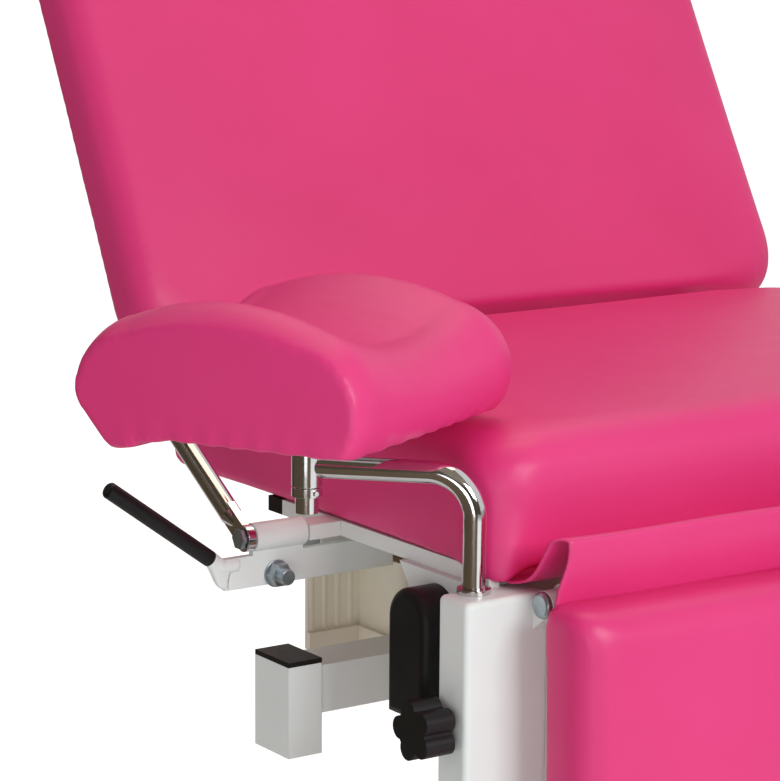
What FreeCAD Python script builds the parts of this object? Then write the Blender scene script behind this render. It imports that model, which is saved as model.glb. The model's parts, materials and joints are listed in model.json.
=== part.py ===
import FreeCAD, Part
import math
import os

# Gynaecological examination chair, millimetres.
# X runs across the chair, -Y towards the foot end, +Z up, origin on the floor under the middle of the chair.
# Left is the -X side.  Sizes called rise and drop are heights above and below the top of the front blocks,
# and sizes called rear are distances behind the axis of the upright crutch rods.

# Where the crutch rods and the tops of the front blocks stand
rod_y = -385.1
block_top = 500.0

# Seat cushion and board
seat_width = 760.0
seat_depth = 508.0
seat_thickness = 104.0
seat_corner = 44.0
seat_edge = 36.0
seat_crown = 4.0
board_thickness = 15.0
board_margin = 45.0

# Backrest, measured along its own slope
back_lean = 27.8
back_width = 766.0
back_length = 720.0
back_corner = 44.0
back_thickness = 58.0
back_edge = 26.0
back_crown = 8.0
back_gap = 5.0
back_hinge_behind = 33.0
back_hinge_rise = 62.0
back_tube_width = 40.0
back_tube_depth = 20.0
back_tube_x = 215.0
back_pivot_radius = 17.0
back_arm_width = 24.0
back_arm_reach = 90.0
back_cross_height = 30.0
back_cross_low = 189.0
back_cross_high = 567.0

# Leg rest, hanging at rest
leg_width = 742.0
leg_length = 402.0
leg_corner = 14.0
leg_thickness = 57.0
leg_edge = 26.0
leg_crown = 5.0
leg_hinge_forward = 40.0
leg_hinge_drop = 6.0
leg_back_forward = 58.0
leg_top_rise = 2.0
leg_bar_width = 30.0
leg_bar_length = 330.0
leg_bar_head = 14.0
leg_cross_height = 30.0
leg_cross_depth = 20.0

# Cushion make-up
cushion_tuck = 4.0
cushion_pull = 3.0
soft_gap = 0.3
tuck_steps = 2
edge_steps = 4
crown_steps = 3
crown_reach = 0.28
corner_growth = 0.25
corner_limit = 0.42

# Vinyl flap between seat and leg rest
flap_thickness = 3.0
flap_half_width = 362.0
flap_root_rear = 6.0
flap_root_gap = 1.3
flap_root_heading = -67.0
flap_valley_forward = 18.0
flap_valley_rise = 7.0
flap_valley_heading = 14.0
flap_slope_forward = 56.0
flap_slope_rise = 45.0
flap_slope_heading = 55.0
flap_fold_forward = 68.0
flap_fold_rise = 46.0
flap_fold_heading = -84.0
flap_hem_forward = 64.0
flap_hem_rise = 2.7
flap_hem_heading = -90.0
flap_slack = 0.4
flap_steps = 6

# Front socket blocks
block_width = 78.0
block_outset = 25.0
block_depth = 38.0
block_back_rear = 12.0
block_height = 165.0
block_wall = 4.0
block_round = 5.0

# Seat frame
tube_wall = 2.0
rail_outset = 17.0
rail_width = 40.0
rail_height = 13.0
rail_front_rear = 8.0
rail_back_rear = 298.0
rail_tongue_width = 10.0
rail_tongue_length = 4.0
frame_tube = 40.0
front_cross_rear = 32.0
middle_cross_rear = 300.0
rear_cross_inset = 25.0
middle_cross_lap = 12.0
spine_x = 112.0
gusset_outset = 11.0
gusset_thickness = 8.0
gusset_length = 103.0
gusset_drop = 142.0
cap_thickness = 4.0
rail_cap_length = 22.0
plug_length = 9.0

# Carriage with its capped uprights
beam_rear = 203.0
beam_depth = 46.0
beam_height = 40.0
beam_drop = 97.0
upright_x = 428.0
upright_width = 32.0
upright_depth = 51.0
upright_drop = 94.0
upright_height = 76.0
carriage_arm_x = 42.0
carriage_arm_width = 30.0
carriage_arm_height = 22.0
carriage_arm_drop = 98.0

# Moulded covers beside the column
cover_x0 = 95.0
cover_x1 = 165.0
cover_front_rear = 232.0
cover_back_rear = 380.0
cover_low_drop = 121.0
cover_wall = 3.0
cover_corner = 10.0
cover_lip_height = 15.0
cover_lip = 4.0
cover_wing_x = 42.0
cover_wing_rear = 297.0
cover_rib_count = 4
cover_rib_radius = 4.0

# Lifting column
column_rear = 397.0
column_size = 150.0
column_wall = 4.6
column_gap = 0.4
column_corner = 12.0
outer_low = 95.0
outer_high = 365.0
middle_low = 97.0
middle_high = 372.0
inner_low = 104.0
inner_high = 454.0
wiper_height = 5.0
head_plate_width = 300.0
head_plate_length = 200.0
head_plate_thickness = 6.0
lift_motor_radius = 40.0
lift_motor_height = 75.0
lift_neck_radius = 24.0
lift_neck_height = 16.0
lift_screw_radius = 11.0
lift_nut_radius = 20.0
lift_nut_height = 30.0
lift_nut_bridge = 16.0

# Base on the floor
base_tube_width = 60.0
base_tube_height = 45.0
base_half_span = 250.0
base_half_length = 400.0
base_cross_offset = 150.0
foot_plate_half = 130.0
foot_plate_thickness = 12.0
foot_radius = 27.0
foot_pad_height = 16.0
foot_clearance = 38.0
foot_stem_radius = 6.0
foot_nut_radius = 11.0
foot_nut_height = 8.0
foot_inset = 45.0
foot_bolt_radius = 9.0
foot_bolt_height = 7.0
inlet_width = 44.0
inlet_height = 42.0
inlet_depth = 16.0
inlet_mouth_width = 22.0
inlet_mouth_height = 19.0
inlet_mouth_depth = 8.0
inlet_rise = 21.0

# Knee crutches
rod_radius = 9.0
rod_outset = 11.0
rod_setback = 8.0
rod_insert = 140.0
rod_rise = 91.5
rod_bend = 34.0
rod_end_inset = 7.2
arm_reach = 130.0
arm_angle = 133.3
sleeve_radius = 12.0
sleeve_low = 76.0
sleeve_high = 113.0
pin_low = 55.0
pin_ring_height = 7.0
pin_shoulder = 3.0
cross_pin_radius = 2.0
cross_pin_stand = 2.0
pad_base_rise = 126.0
pad_plate_size = 110.0
pad_plate_thickness = 5.0
pad_plate_corner = 12.0
pad_across = 252.0
pad_along = 247.0
pad_offset = 7.5
pad_height = 103.0
pad_far_height = 99.0
pad_dip = 26.0
pad_rim_depth = 28.0
pad_rim_drop = 14.0
pad_rim_side = 0.35
pad_foot_share = 0.90
pad_belly_share = 0.36
pad_cheek_share = 0.86
pad_shoulder_share = 0.64
pad_rim_steps = 5
pad_dip_steps = 8
pad_rim_lift = 0.1
pad_yaw = 27.2
bush_radius = 11.0
bush_flange_radius = 13.0
bush_flange = 4.0
bush_length = 118.0
guide_wall = 3.0
run_fit = 0.05
side_play = 1.0
knob_core_radius = 17.3
knob_lobe_radius = 9.1
knob_lobe_reach = 14.9
knob_depth = 26.0
knob_lobes = 5
knob_stand = 6.0
knob_drop = 100.0
knob_screw_radius = 4.0

# Side release lever and folding hand bar on one pivot bolt
pivot_rear = 220.0
pivot_rise = 6.5
pivot_bolt_radius = 5.5
pivot_head_radius = 9.0
pivot_head_height = 3.5
pivot_boss_width = 24.0
lever_bush_radius = 11.5
lever_bush_inner = 14.0
lever_bush_outer = 62.0
lever_plate = 6.0
lever_low = 40.5
lever_high = 14.5
lever_outer = 88.0
lever_inner = 75.0
lever_stub_radius = 6.0
lever_stub_length = 11.0
lever_stub_gap = 2.0
lever_stub_root = 12.0
weld_depth = 2.0
lever_tang_radius = 4.0
lever_tang_length = 26.0
lever_grip_radius = 6.8
lever_grip_length = 117.0
lever_grip_angle = 36.5
bar_radius = 9.0
bar_length = 235.0
bar_angle = 32.0
bar_tongue = 7.0
bar_eye = 11.0
bar_flat_length = 34.0
bar_grip_length = 95.0
bar_grip_radius = 13.0
bar_grip_end = 6.0
bar_grip_round = 4.0
bar_swell_start = 16.0
bar_swell_length = 11.0

# Leg rest drive: gear motor, torque shaft, cranks and links
shaft_radius = 12.0
shaft_rear = 62.0
shaft_drop = 60.0
crank_radius = 45.0
crank_angle = -60.0
crank_thickness = 8.0
crank_eye = 12.0
crank_hub = 18.0
crank_pin_radius = 5.0
link_height = 16.0
motor_thickness = 31.0
motor_width = 52.0
motor_top_drop = 8.0
motor_low_drop = 112.0
motor_round = 7.0
motor_shaft_depth = 18.6
shaft_end = 4.0

# Hinge hardware
hinge_bolt_radius = 6.0
hinge_head_radius = 10.5
hinge_head_height = 5.0
lug_thickness = 16.0
lug_nose = 11.0
bar_thickness = 8.0
bar_gap = 0.5
back_lug_x = 262.0
back_lug_thickness = 12.0
back_lug_drop = 8.0
disc_radius = 30.0
disc_thickness = 14.0
disc_nut_radius = 10.4
disc_nut_height = 6.0
edge_round = 3.0

# How far a hole is cut past the material
past = 1.0

# Places worked out from the sizes above
rod_x = seat_width / 2 + rod_outset
seat_bottom = block_top + rail_height
seat_top = seat_bottom + seat_thickness
seat_front = rod_y - rod_setback
seat_back = seat_front + seat_depth
block_outer = rod_x + block_outset
block_inner = block_outer - block_width
block_back = rod_y + block_back_rear
block_front = block_back - block_depth
rail_outer = rod_x - rail_outset
rail_inner = rail_outer - rail_width
frame_low = block_top - frame_tube
column_y = rod_y + column_rear
lean = math.radians(back_lean)
up_slope = FreeCAD.Vector(0, math.sin(lean), math.cos(lean))
rearward = FreeCAD.Vector(0, math.cos(lean), -math.sin(lean))
back_foot = FreeCAD.Vector(0, seat_back + back_gap, seat_top + back_gap)
back_face = back_foot + rearward * back_thickness
back_hinge = FreeCAD.Vector(0, seat_back + back_hinge_behind, block_top + back_hinge_rise)
rear_cross_y = seat_back - rear_cross_inset
leg_hinge = FreeCAD.Vector(0, rod_y - leg_hinge_forward, block_top - leg_hinge_drop)
leg_back = rod_y - leg_back_forward
leg_top = block_top + leg_top_rise
shaft = FreeCAD.Vector(0, rod_y + shaft_rear, block_top - shaft_drop)
pivot = FreeCAD.Vector(0, rod_y + pivot_rear, block_top + pivot_rise)
base_low = foot_clearance
base_high = base_low + base_tube_height
foot_plate_top = base_high + foot_plate_thickness
leg_bar_outer = block_inner - bar_gap
leg_bar_inner = leg_bar_outer - bar_thickness
link_outer = leg_bar_inner - side_play
link_inner = link_outer - crank_thickness
crank_outer = link_inner - side_play
crank_inner = crank_outer - crank_thickness
lug_inner = leg_bar_outer + side_play
lug_outer = lug_inner + lug_thickness

X_AXIS = FreeCAD.Vector(1, 0, 0)
Z_AXIS = FreeCAD.Vector(0, 0, 1)
ORIGIN = FreeCAD.Vector(0, 0, 0)


def vec(x, y, z):
    return FreeCAD.Vector(x, y, z)


def block(x0, x1, y0, y1, z0, z1):
    low = vec(min(x0, x1), min(y0, y1), min(z0, z1))
    return Part.makeBox(abs(x1 - x0), abs(y1 - y0), abs(z1 - z0), low)


def rod(start, end, radius):
    path = end - start
    return Part.makeCylinder(radius, path.Length, start, path)


def across(x0, x1, place, radius):
    """A cylinder along X through a place in the side view."""
    return rod(vec(x0, place.y, place.z), vec(x1, place.y, place.z), radius)


def upright(x, y, z0, z1, radius):
    return rod(vec(x, y, z0), vec(x, y, z1), radius)


def plate_across(corners, x0, x1):
    """A flat plate cut to an outline in the side view, from x0 to x1."""
    points = [vec(x0, y, z) for y, z in corners]
    return Part.Face(Part.makePolygon(points + points[:1])).extrude(vec(x1 - x0, 0, 0))


def mirrored(shape):
    return shape.mirror(ORIGIN, X_AXIS)


def both(*shapes):
    """Left pieces with their mirror images on the right."""
    return Part.makeCompound(list(shapes) + [mirrored(s) for s in shapes])


def fuse(shapes):
    return shapes[0].multiFuse(shapes[1:]).removeSplitter()


def square_tube(x0, x1, y0, y1, z0, z1, along):
    """A rectangular tube with open ends along one axis."""
    walls = {"X": (0, tube_wall, tube_wall), "Y": (tube_wall, 0, tube_wall), "Z": (tube_wall, tube_wall, 0)}
    wx, wy, wz = walls[along]
    hollow = block(x0 + wx, x1 - wx, y0 + wy, y1 - wy, z0 + wz, z1 - wz)
    return block(x0, x1, y0, y1, z0, z1).cut(hollow)


def is_upright(edge):
    a = edge.Vertexes[0].Point
    b = edge.Vertexes[-1].Point
    return abs(a.x - b.x) < 0.001 and abs(a.y - b.y) < 0.001 and abs(a.z - b.z) > 0.001


def round_upright(shape, radius):
    return shape.makeFillet(radius, [e for e in shape.Edges if is_upright(e)])


def arc(first, middle, last):
    return Part.Arc(first, middle, last).toShape()


def line(first, last):
    return Part.LineSegment(first, last).toShape()


def placed(shape, x_dir, y_dir, origin):
    """Moves a shape drawn at the origin so that its X and Y run along the two directions given."""
    z_dir = x_dir.cross(y_dir)
    turn = FreeCAD.Rotation(x_dir, y_dir, z_dir, "ZXY")
    moved = shape.copy()
    moved.Placement = FreeCAD.Placement(origin, turn)
    return moved


# Cushions

def cushion_outline(width, depth, corner, z):
    """A four-sided outline with round corners whose sides pull in between the corners."""
    hw = width / 2
    hd = depth / 2
    k = corner * (1 - math.sqrt(0.5))
    quarters = [(1, -1), (1, 1), (-1, 1), (-1, -1)]
    edges = []
    for step, (sx, sy) in enumerate(quarters):
        nx, ny = quarters[(step + 1) % 4]
        if step % 2 == 0:
            begin = vec(sx * (hw - corner), sy * hd, z)
            end = vec(sx * hw, sy * (hd - corner), z)
            following = vec(nx * hw, ny * (hd - corner), z)
            dent = vec(sx * (hw - cushion_pull), 0, z)
        else:
            begin = vec(sx * hw, sy * (hd - corner), z)
            end = vec(sx * (hw - corner), sy * hd, z)
            following = vec(nx * (hw - corner), ny * hd, z)
            dent = vec(0, sy * (hd - cushion_pull), z)
        edges.append(arc(begin, vec(sx * (hw - k), sy * (hd - k), z), end))
        edges.append(arc(end, dent, following))
    return Part.Wire(edges)


def pillow(width, depth, round_corner, thickness, edge, crown):
    """A crowned cushion with its base at z = 0 and its middle on the Z axis."""
    span = min(width, depth)
    levels = []
    for step in range(tuck_steps + 1):
        a = math.radians(90 * step / tuck_steps)
        levels.append((cushion_tuck * (1 - math.sin(a)), 2 * cushion_tuck * (1 - math.cos(a))))
    for step in range(edge_steps + 1):
        a = math.radians(90 * step / edge_steps)
        levels.append((edge * (1 - math.cos(a)), thickness - edge * (1 - math.sin(a))))
    for step in range(1, crown_steps + 1):
        share = step / crown_steps
        levels.append((edge + share * crown_reach * span, thickness + crown * (1 - (1 - share) ** 2)))
    wires = []
    for inset, z in levels:
        corner = min(round_corner + corner_growth * inset, corner_limit * (span - 2 * inset))
        wires.append(cushion_outline(width - 2 * inset, depth - 2 * inset, corner, z))
    return Part.makeLoft(wires, True, True)


def let_in_board(width, depth, gap):
    """A board let into the base of a cushion, with room left round it when a gap is given."""
    hw = width / 2 - board_margin + gap
    hd = depth / 2 - board_margin + gap
    low = -past if gap else 0.0
    return block(-hw, hw, -hd, hd, low, board_thickness + gap)


def upholstered(width, depth, corner, thickness, edge, crown):
    """The cushion, hollowed for its board, and the board itself."""
    cushion = pillow(width, depth, corner, thickness, edge, crown)
    cushion = cushion.cut(let_in_board(width, depth, soft_gap))
    return cushion, let_in_board(width, depth, 0.0)


def seat_pieces():
    pieces = upholstered(seat_width, seat_depth, seat_corner, seat_thickness, seat_edge, seat_crown)
    middle = vec(0, (seat_front + seat_back) / 2, seat_bottom)
    return [placed(p, X_AXIS, vec(0, 1, 0), middle) for p in pieces]


def back_pieces():
    pieces = upholstered(back_width, back_length, back_corner, back_thickness, back_edge, back_crown)
    middle = back_face + up_slope * (back_length / 2)
    return [placed(p, X_AXIS, up_slope, middle) for p in pieces]


def leg_pieces():
    pieces = upholstered(leg_width, leg_length, leg_corner, leg_thickness, leg_edge, leg_crown)
    middle = vec(0, leg_back, leg_top - leg_length / 2)
    return [placed(p, X_AXIS, Z_AXIS, middle) for p in pieces]


def bezier(a, b, c, d, t):
    s = 1 - t
    return a * (s ** 3) + b * (3 * s * s * t) + c * (3 * s * t * t) + d * (t ** 3)


def heading(degrees):
    """A direction in the side view, turned up from straight forward."""
    a = math.radians(degrees)
    return vec(0, -math.cos(a), math.sin(a))


def flap_path():
    """Points along the flap from its root under the seat, over its fold and down to its hem."""
    knots = [
        (-flap_root_rear, rail_height - flap_root_gap, flap_root_heading),
        (flap_valley_forward, flap_valley_rise, flap_valley_heading),
        (flap_slope_forward, flap_slope_rise, flap_slope_heading),
        (flap_fold_forward, flap_fold_rise, flap_fold_heading),
        (flap_hem_forward, flap_hem_rise, flap_hem_heading),
    ]
    places = [vec(0, rod_y - forward, block_top + rise) for forward, rise, _ in knots]
    ways = [heading(degrees) for _, _, degrees in knots]
    points = [places[0]]
    for n in range(len(knots) - 1):
        pull = places[n].distanceToPoint(places[n + 1]) * flap_slack
        first = places[n] + ways[n] * pull
        second = places[n + 1] - ways[n + 1] * pull
        for step in range(1, flap_steps + 1):
            points.append(bezier(places[n], first, second, places[n + 1], step / flap_steps))
    return points


def front_flap():
    """The vinyl flap that bridges seat and leg rest, folded up in one hump while the leg rest hangs."""
    path = flap_path()
    under = []
    over = []
    for n, here in enumerate(path):
        along = path[min(n + 1, len(path) - 1)] - path[max(n - 1, 0)]
        along.normalize()
        side = vec(0, -along.z, along.y) * (flap_thickness / 2)
        under.append(here + side)
        over.append(here - side)
    outline = [(p.y, p.z) for p in under + over[::-1]]
    return plate_across(outline, -flap_half_width, flap_half_width)


# Base on the floor

def foot_places():
    return [-base_half_length + foot_inset, base_half_length - foot_inset]


def cross_places():
    return [column_y - base_cross_offset, column_y + base_cross_offset]


def base_side_tubes():
    x0 = -base_half_span - base_tube_width / 2
    tube = square_tube(x0, x0 + base_tube_width, -base_half_length, base_half_length, base_low, base_high, "Y")
    for y in foot_places():
        tube = tube.cut(upright(-base_half_span, y, base_low, base_low + tube_wall, foot_stem_radius))
    return both(tube)


def base_cross_tubes():
    reach = base_half_span - base_tube_width / 2
    half = base_tube_width / 2
    tubes = [square_tube(-reach, reach, y - half, y + half, base_low, base_high, "X") for y in cross_places()]
    return Part.makeCompound(tubes)


def base_end_caps():
    x0 = -base_half_span - base_tube_width / 2
    caps = []
    for out in (-1, 1):
        y = out * base_half_length
        face = block(x0, x0 + base_tube_width, y, y + out * cap_thickness, base_low, base_high)
        plug = block(x0 + tube_wall, x0 + base_tube_width - tube_wall, y, y - out * plug_length,
                     base_low + tube_wall, base_high - tube_wall)
        caps.append(fuse([face, plug]))
    return both(*caps)


def foot_pads():
    half = foot_pad_height / 2
    pads = []
    for y in foot_places():
        low = Part.makeCylinder(foot_radius, half, vec(-base_half_span, y, 0))
        top = Part.makeCone(foot_radius, foot_nut_radius, half, vec(-base_half_span, y, half))
        pads.append(fuse([low, top]))
    return both(*pads)


def base_fasteners():
    """Threaded stems of the feet with their lock nuts, and the bolts of the column foot plate."""
    pieces = []
    for y in foot_places():
        stem = upright(-base_half_span, y, foot_pad_height, base_low + tube_wall, foot_stem_radius)
        nut = upright(-base_half_span, y, base_low - foot_nut_height, base_low, foot_nut_radius)
        pieces.append(fuse([stem, nut]))
    x = -foot_plate_half + 3 * foot_bolt_radius
    for y in cross_places():
        pieces.append(upright(x, y, foot_plate_top, foot_plate_top + foot_bolt_height, foot_bolt_radius))
    return both(*pieces)


def column_foot_plate():
    half = base_tube_width / 2
    return block(-foot_plate_half, foot_plate_half, cross_places()[0] - half, cross_places()[1] + half, base_high,
                 foot_plate_top)


def column_half(stage):
    """Half the outside width of a column tube; stage 0 is the outermost."""
    return column_size / 2 - stage * (column_wall + column_gap)


def column_block(half, corner, z0, z1):
    return round_upright(block(-half, half, column_y - half, column_y + half, z0, z1), corner)


def column_ring(stage, z0, z1):
    """A square tube of the column with round corners."""
    half = column_half(stage)
    corner = column_corner - stage
    outside = column_block(half, corner, z0, z1)
    return outside.cut(column_block(half - column_wall, corner - column_wall / 2, z0, z1))


def column_outer():
    return column_ring(0, outer_low, outer_high)


def column_middle():
    return column_ring(1, middle_low, middle_high)


def column_inner():
    """The innermost tube, with the nut of the lift screw held in it by a bridge."""
    tube = column_ring(2, inner_low, inner_high)
    z0 = (screw_low() + inner_high) / 2
    half = column_half(2) - column_wall / 2
    nut = upright(0, column_y, z0, z0 + lift_nut_height, lift_nut_radius)
    bridge = block(-half, half, column_y - lift_nut_radius / 2, column_y + lift_nut_radius / 2, z0,
                   z0 + lift_nut_bridge)
    hole = upright(0, column_y, z0 - past, z0 + lift_nut_height + past, lift_screw_radius + run_fit)
    return fuse([tube, nut, bridge]).cut(hole)


def wiper_lower():
    return column_ring(0, outer_high, outer_high + wiper_height)


def wiper_upper():
    return column_ring(1, middle_high, middle_high + wiper_height)


def lift_gearmotor():
    can = Part.makeCylinder(lift_motor_radius, lift_motor_height, vec(0, column_y, foot_plate_top))
    neck = Part.makeCylinder(lift_neck_radius, lift_neck_height, vec(0, column_y, foot_plate_top + lift_motor_height))
    return fuse([can, neck])


def screw_low():
    return foot_plate_top + lift_motor_height + lift_neck_height


def lift_screw():
    return upright(0, column_y, screw_low(), inner_high - 2 * head_plate_thickness, lift_screw_radius)


def power_inlet():
    y = column_y + column_size / 2
    low = outer_low + inlet_rise
    body = block(-inlet_width / 2, inlet_width / 2, y, y + inlet_depth, low, low + inlet_height)
    middle = low + inlet_height / 2
    mouth = block(-inlet_mouth_width / 2, inlet_mouth_width / 2, y + inlet_depth - inlet_mouth_depth,
                  y + inlet_depth + past, middle - inlet_mouth_height / 2, middle + inlet_mouth_height / 2)
    return body.cut(mouth)


# Carriage and seat frame

def column_head_plate():
    half = head_plate_width / 2
    y0 = column_y - head_plate_length / 2
    return block(-half, half, y0, y0 + head_plate_length, inner_high, inner_high + head_plate_thickness)


beam_low = block_top - beam_drop - beam_height
beam_high = block_top - beam_drop
upright_top = block_top - upright_drop


def carriage_beams():
    """The cross beam and the two tubes from it to the front face of the inner column tube."""
    reach = upright_x - upright_width / 2
    y0 = rod_y + beam_rear - beam_depth / 2
    y1 = y0 + beam_depth
    y2 = column_y - column_half(2)
    beam = square_tube(-reach, reach, y0, y1, beam_low, beam_high, "X")
    high = block_top - carriage_arm_drop
    x0 = -carriage_arm_x - carriage_arm_width / 2
    arm = square_tube(x0, x0 + carriage_arm_width, y1, y2, high - carriage_arm_height, high, "Y")
    return Part.makeCompound([beam, arm, mirrored(arm)])


def carriage_uprights():
    x0 = -upright_x - upright_width / 2
    y0 = rod_y + beam_rear - upright_depth / 2
    return both(square_tube(x0, x0 + upright_width, y0, y0 + upright_depth, upright_top - upright_height,
                            upright_top, "Z"))


def frame_plugs():
    """Black end plugs of the uprights and of the seat rails."""
    x0 = -upright_x - upright_width / 2
    y0 = rod_y + beam_rear - upright_depth / 2
    face = block(x0, x0 + upright_width, y0, y0 + upright_depth, upright_top, upright_top + cap_thickness)
    plug = block(x0 + tube_wall, x0 + upright_width - tube_wall, y0 + tube_wall, y0 + upright_depth - tube_wall,
                 upright_top - plug_length, upright_top)
    end = rod_y + rail_back_rear
    rail_face = block(-rail_outer, -rail_inner, end, end + rail_cap_length, block_top, seat_bottom)
    rail_plug = block(-rail_outer + tube_wall, -rail_inner - tube_wall, end - plug_length, end,
                      block_top + tube_wall, seat_bottom - tube_wall)
    return both(fuse([face, plug]), fuse([rail_face, rail_plug]))


def side_cover():
    """A moulded tray beside the column, with a ribbed wing on its outer side."""
    x0 = -rod_x + cover_x0
    x1 = -rod_x + cover_x1
    y0 = rod_y + cover_front_rear
    y1 = rod_y + cover_back_rear
    low = block_top - cover_low_drop
    tray = round_upright(block(x0, x1, y0, y1, low, frame_low), cover_corner)
    room = round_upright(block(x0 + cover_wall, x1 - cover_wall, y0 + cover_wall, y1 - cover_wall, low + cover_wall,
                               frame_low + past), cover_corner - cover_wall)
    lip = round_upright(block(x0 - cover_lip, x1 + cover_lip, y0 - cover_lip, y1 + cover_lip, low,
                              low + cover_lip_height), cover_corner + cover_lip)
    wing_x = -rod_x + cover_wing_x
    wing_y = rod_y + cover_wing_rear
    wing = [tray, lip, block(wing_x, x0 + cover_wall, wing_y, wing_y + cover_wall, low, frame_low)]
    pitch = (x0 - wing_x) / cover_rib_count
    for n in range(cover_rib_count):
        wing.append(upright(wing_x + cover_rib_radius + n * pitch, wing_y + cover_wall, low, frame_low,
                            cover_rib_radius))
    wing.append(block(wing_x, x0, wing_y - cover_lip, wing_y + cover_wall, low, low + cover_lip_height))
    return fuse(wing).cut(room)


def seat_rail():
    """A flat tube behind the left front block, with a solid tongue that rests on the block."""
    front = rod_y + rail_front_rear
    tube = square_tube(-rail_outer, -rail_inner, front, rod_y + rail_back_rear, block_top, seat_bottom, "Y")
    tongue = block(-rail_outer, -rail_outer + rail_tongue_width, front - rail_tongue_length, front, block_top,
                   seat_bottom)
    return fuse([tube, tongue])


def seat_cross_tubes():
    """Front and middle cross tubes under the rails, and the flat rear one at the height of the rails."""
    tubes = []
    for reach, middle, low, high in (
        (rod_x - gusset_outset - gusset_thickness, rod_y + front_cross_rear, frame_low, block_top),
        (rail_inner + middle_cross_lap, rod_y + middle_cross_rear, frame_low, block_top),
        (rail_inner, rear_cross_y, block_top, seat_bottom),
    ):
        y0 = middle - frame_tube / 2
        tubes.append(square_tube(-reach, reach, y0, y0 + frame_tube, low, high, "X"))
    return Part.makeCompound(tubes)


def seat_spines():
    """Tubes along the chair that join the cross tubes, and the flat ends that carry the rear cross tube."""
    x0 = -spine_x - frame_tube / 2
    half = frame_tube / 2
    front = square_tube(x0, x0 + frame_tube, rod_y + front_cross_rear + half, rod_y + middle_cross_rear - half,
                        frame_low, block_top, "Y")
    rear = square_tube(x0, x0 + frame_tube, rod_y + middle_cross_rear + half, rear_cross_y + half,
                       frame_low, block_top, "Y")
    return both(front, rear)


def gussets():
    """The slanted plate behind each front block, with the bearing of the torque shaft."""
    x0 = -rod_x + gusset_outset
    x1 = x0 + gusset_thickness
    corners = [
        (block_back, block_top),
        (block_back + gusset_length, block_top),
        (block_back, block_top - gusset_drop),
    ]
    plate = fuse([plate_across(corners, x0, x1), across(x0, x1, shaft, shaft_radius + crank_eye)])
    plate = plate.cut(across(x0 - past, x1 + past, shaft, shaft_radius + run_fit))
    return both(plate)


def front_block():
    """A socket block: rectangular tube closed at the top, with the guide tube of the crutch rod inside."""
    low = block_top - block_height
    whole = block(-block_outer, -block_inner, block_front, block_back, low, block_top)
    soft = [e for e in whole.Edges if is_upright(e)]
    soft += [e for e in whole.Edges if min(v.Z for v in e.Vertexes) > block_top - 0.01]
    shell = whole.makeFillet(block_round, soft)
    shell = shell.cut(block(-block_outer + block_wall, -block_inner - block_wall, block_front + block_wall,
                            block_back - block_wall, low, block_top - block_wall))
    guide = upright(-rod_x, rod_y, block_top - bush_length - guide_wall, block_top - block_wall,
                    bush_radius + guide_wall)
    body = shell.fuse(guide.common(whole))
    body = body.cut(upright(-rod_x, rod_y, low, block_top + past, bush_radius + run_fit))
    screw = rod(vec(-block_outer - past, rod_y, block_top - knob_drop), vec(-rod_x, rod_y, block_top - knob_drop),
                knob_screw_radius + run_fit)
    return body.cut(screw)


# Hinges

def leg_lug():
    """The plate in front of the left block that holds the leg rest."""
    corners = [
        (leg_hinge.y, leg_hinge.z - lug_nose),
        (block_front, leg_hinge.z - 2 * lug_nose),
        (block_front, block_top - block_round),
        (leg_hinge.y, leg_hinge.z + lug_nose),
    ]
    lug = fuse([plate_across(corners, -lug_outer, -lug_inner), across(-lug_outer, -lug_inner, leg_hinge, lug_nose)])
    return lug.cut(across(-lug_outer - past, -lug_inner + past, leg_hinge, hinge_bolt_radius))


def hexagon(x, place, radius, height):
    """A bolt head that stands out towards -X."""
    points = []
    for n in range(6):
        a = math.radians(60 * n)
        points.append((place.y + radius * math.cos(a), place.z + radius * math.sin(a)))
    return plate_across(points, x - height, x)


def leg_hinge_bolt():
    head = across(-lug_outer - hinge_head_height, -lug_outer, leg_hinge, hinge_head_radius)
    head = head.makeFillet(edge_round, [e for e in head.Edges if e.Closed and e.BoundBox.XMax < -lug_outer - past])
    shank = across(-lug_outer, -leg_bar_inner, leg_hinge, hinge_bolt_radius)
    return fuse([head, shank])


def back_lug_inner():
    return back_lug_x - back_lug_thickness


def back_lug():
    """The left bracket that reaches from the rear cross tube to the hinge line behind the seat."""
    x0 = -back_lug_x
    x1 = -back_lug_inner()
    low = block_top - back_lug_drop
    beam_back = rear_cross_y + frame_tube / 2
    beam_front = beam_back - frame_tube
    corners = [
        (beam_front, low),
        (back_hinge.y + back_pivot_radius, low),
        (back_hinge.y + back_pivot_radius, back_hinge.z),
        (back_hinge.y - back_pivot_radius, back_hinge.z),
        (seat_back + 2 * back_gap, seat_bottom),
        (beam_back, seat_bottom),
        (beam_back, block_top),
        (beam_front, block_top),
    ]
    lug = fuse([plate_across(corners, x0, x1), across(x0, x1, back_hinge, back_pivot_radius)])
    return lug.cut(across(x0 - past, x1 + past, back_hinge, hinge_bolt_radius))


def recliner_discs():
    """Toothed locking discs on the outside of the brackets, with the hinge pin through them."""
    x0 = -back_lug_x - disc_thickness
    disc = across(x0, -back_lug_x, back_hinge, disc_radius)
    disc = disc.makeFillet(edge_round, [e for e in disc.Edges if e.Closed and e.BoundBox.XMax < x0 + past])
    head = hexagon(x0, back_hinge, disc_nut_radius, disc_nut_height)
    pin = across(x0, -back_lug_inner() + 2 * back_pivot_radius, back_hinge, hinge_bolt_radius)
    return both(fuse([disc, head, pin]))


# Backrest frame

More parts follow.
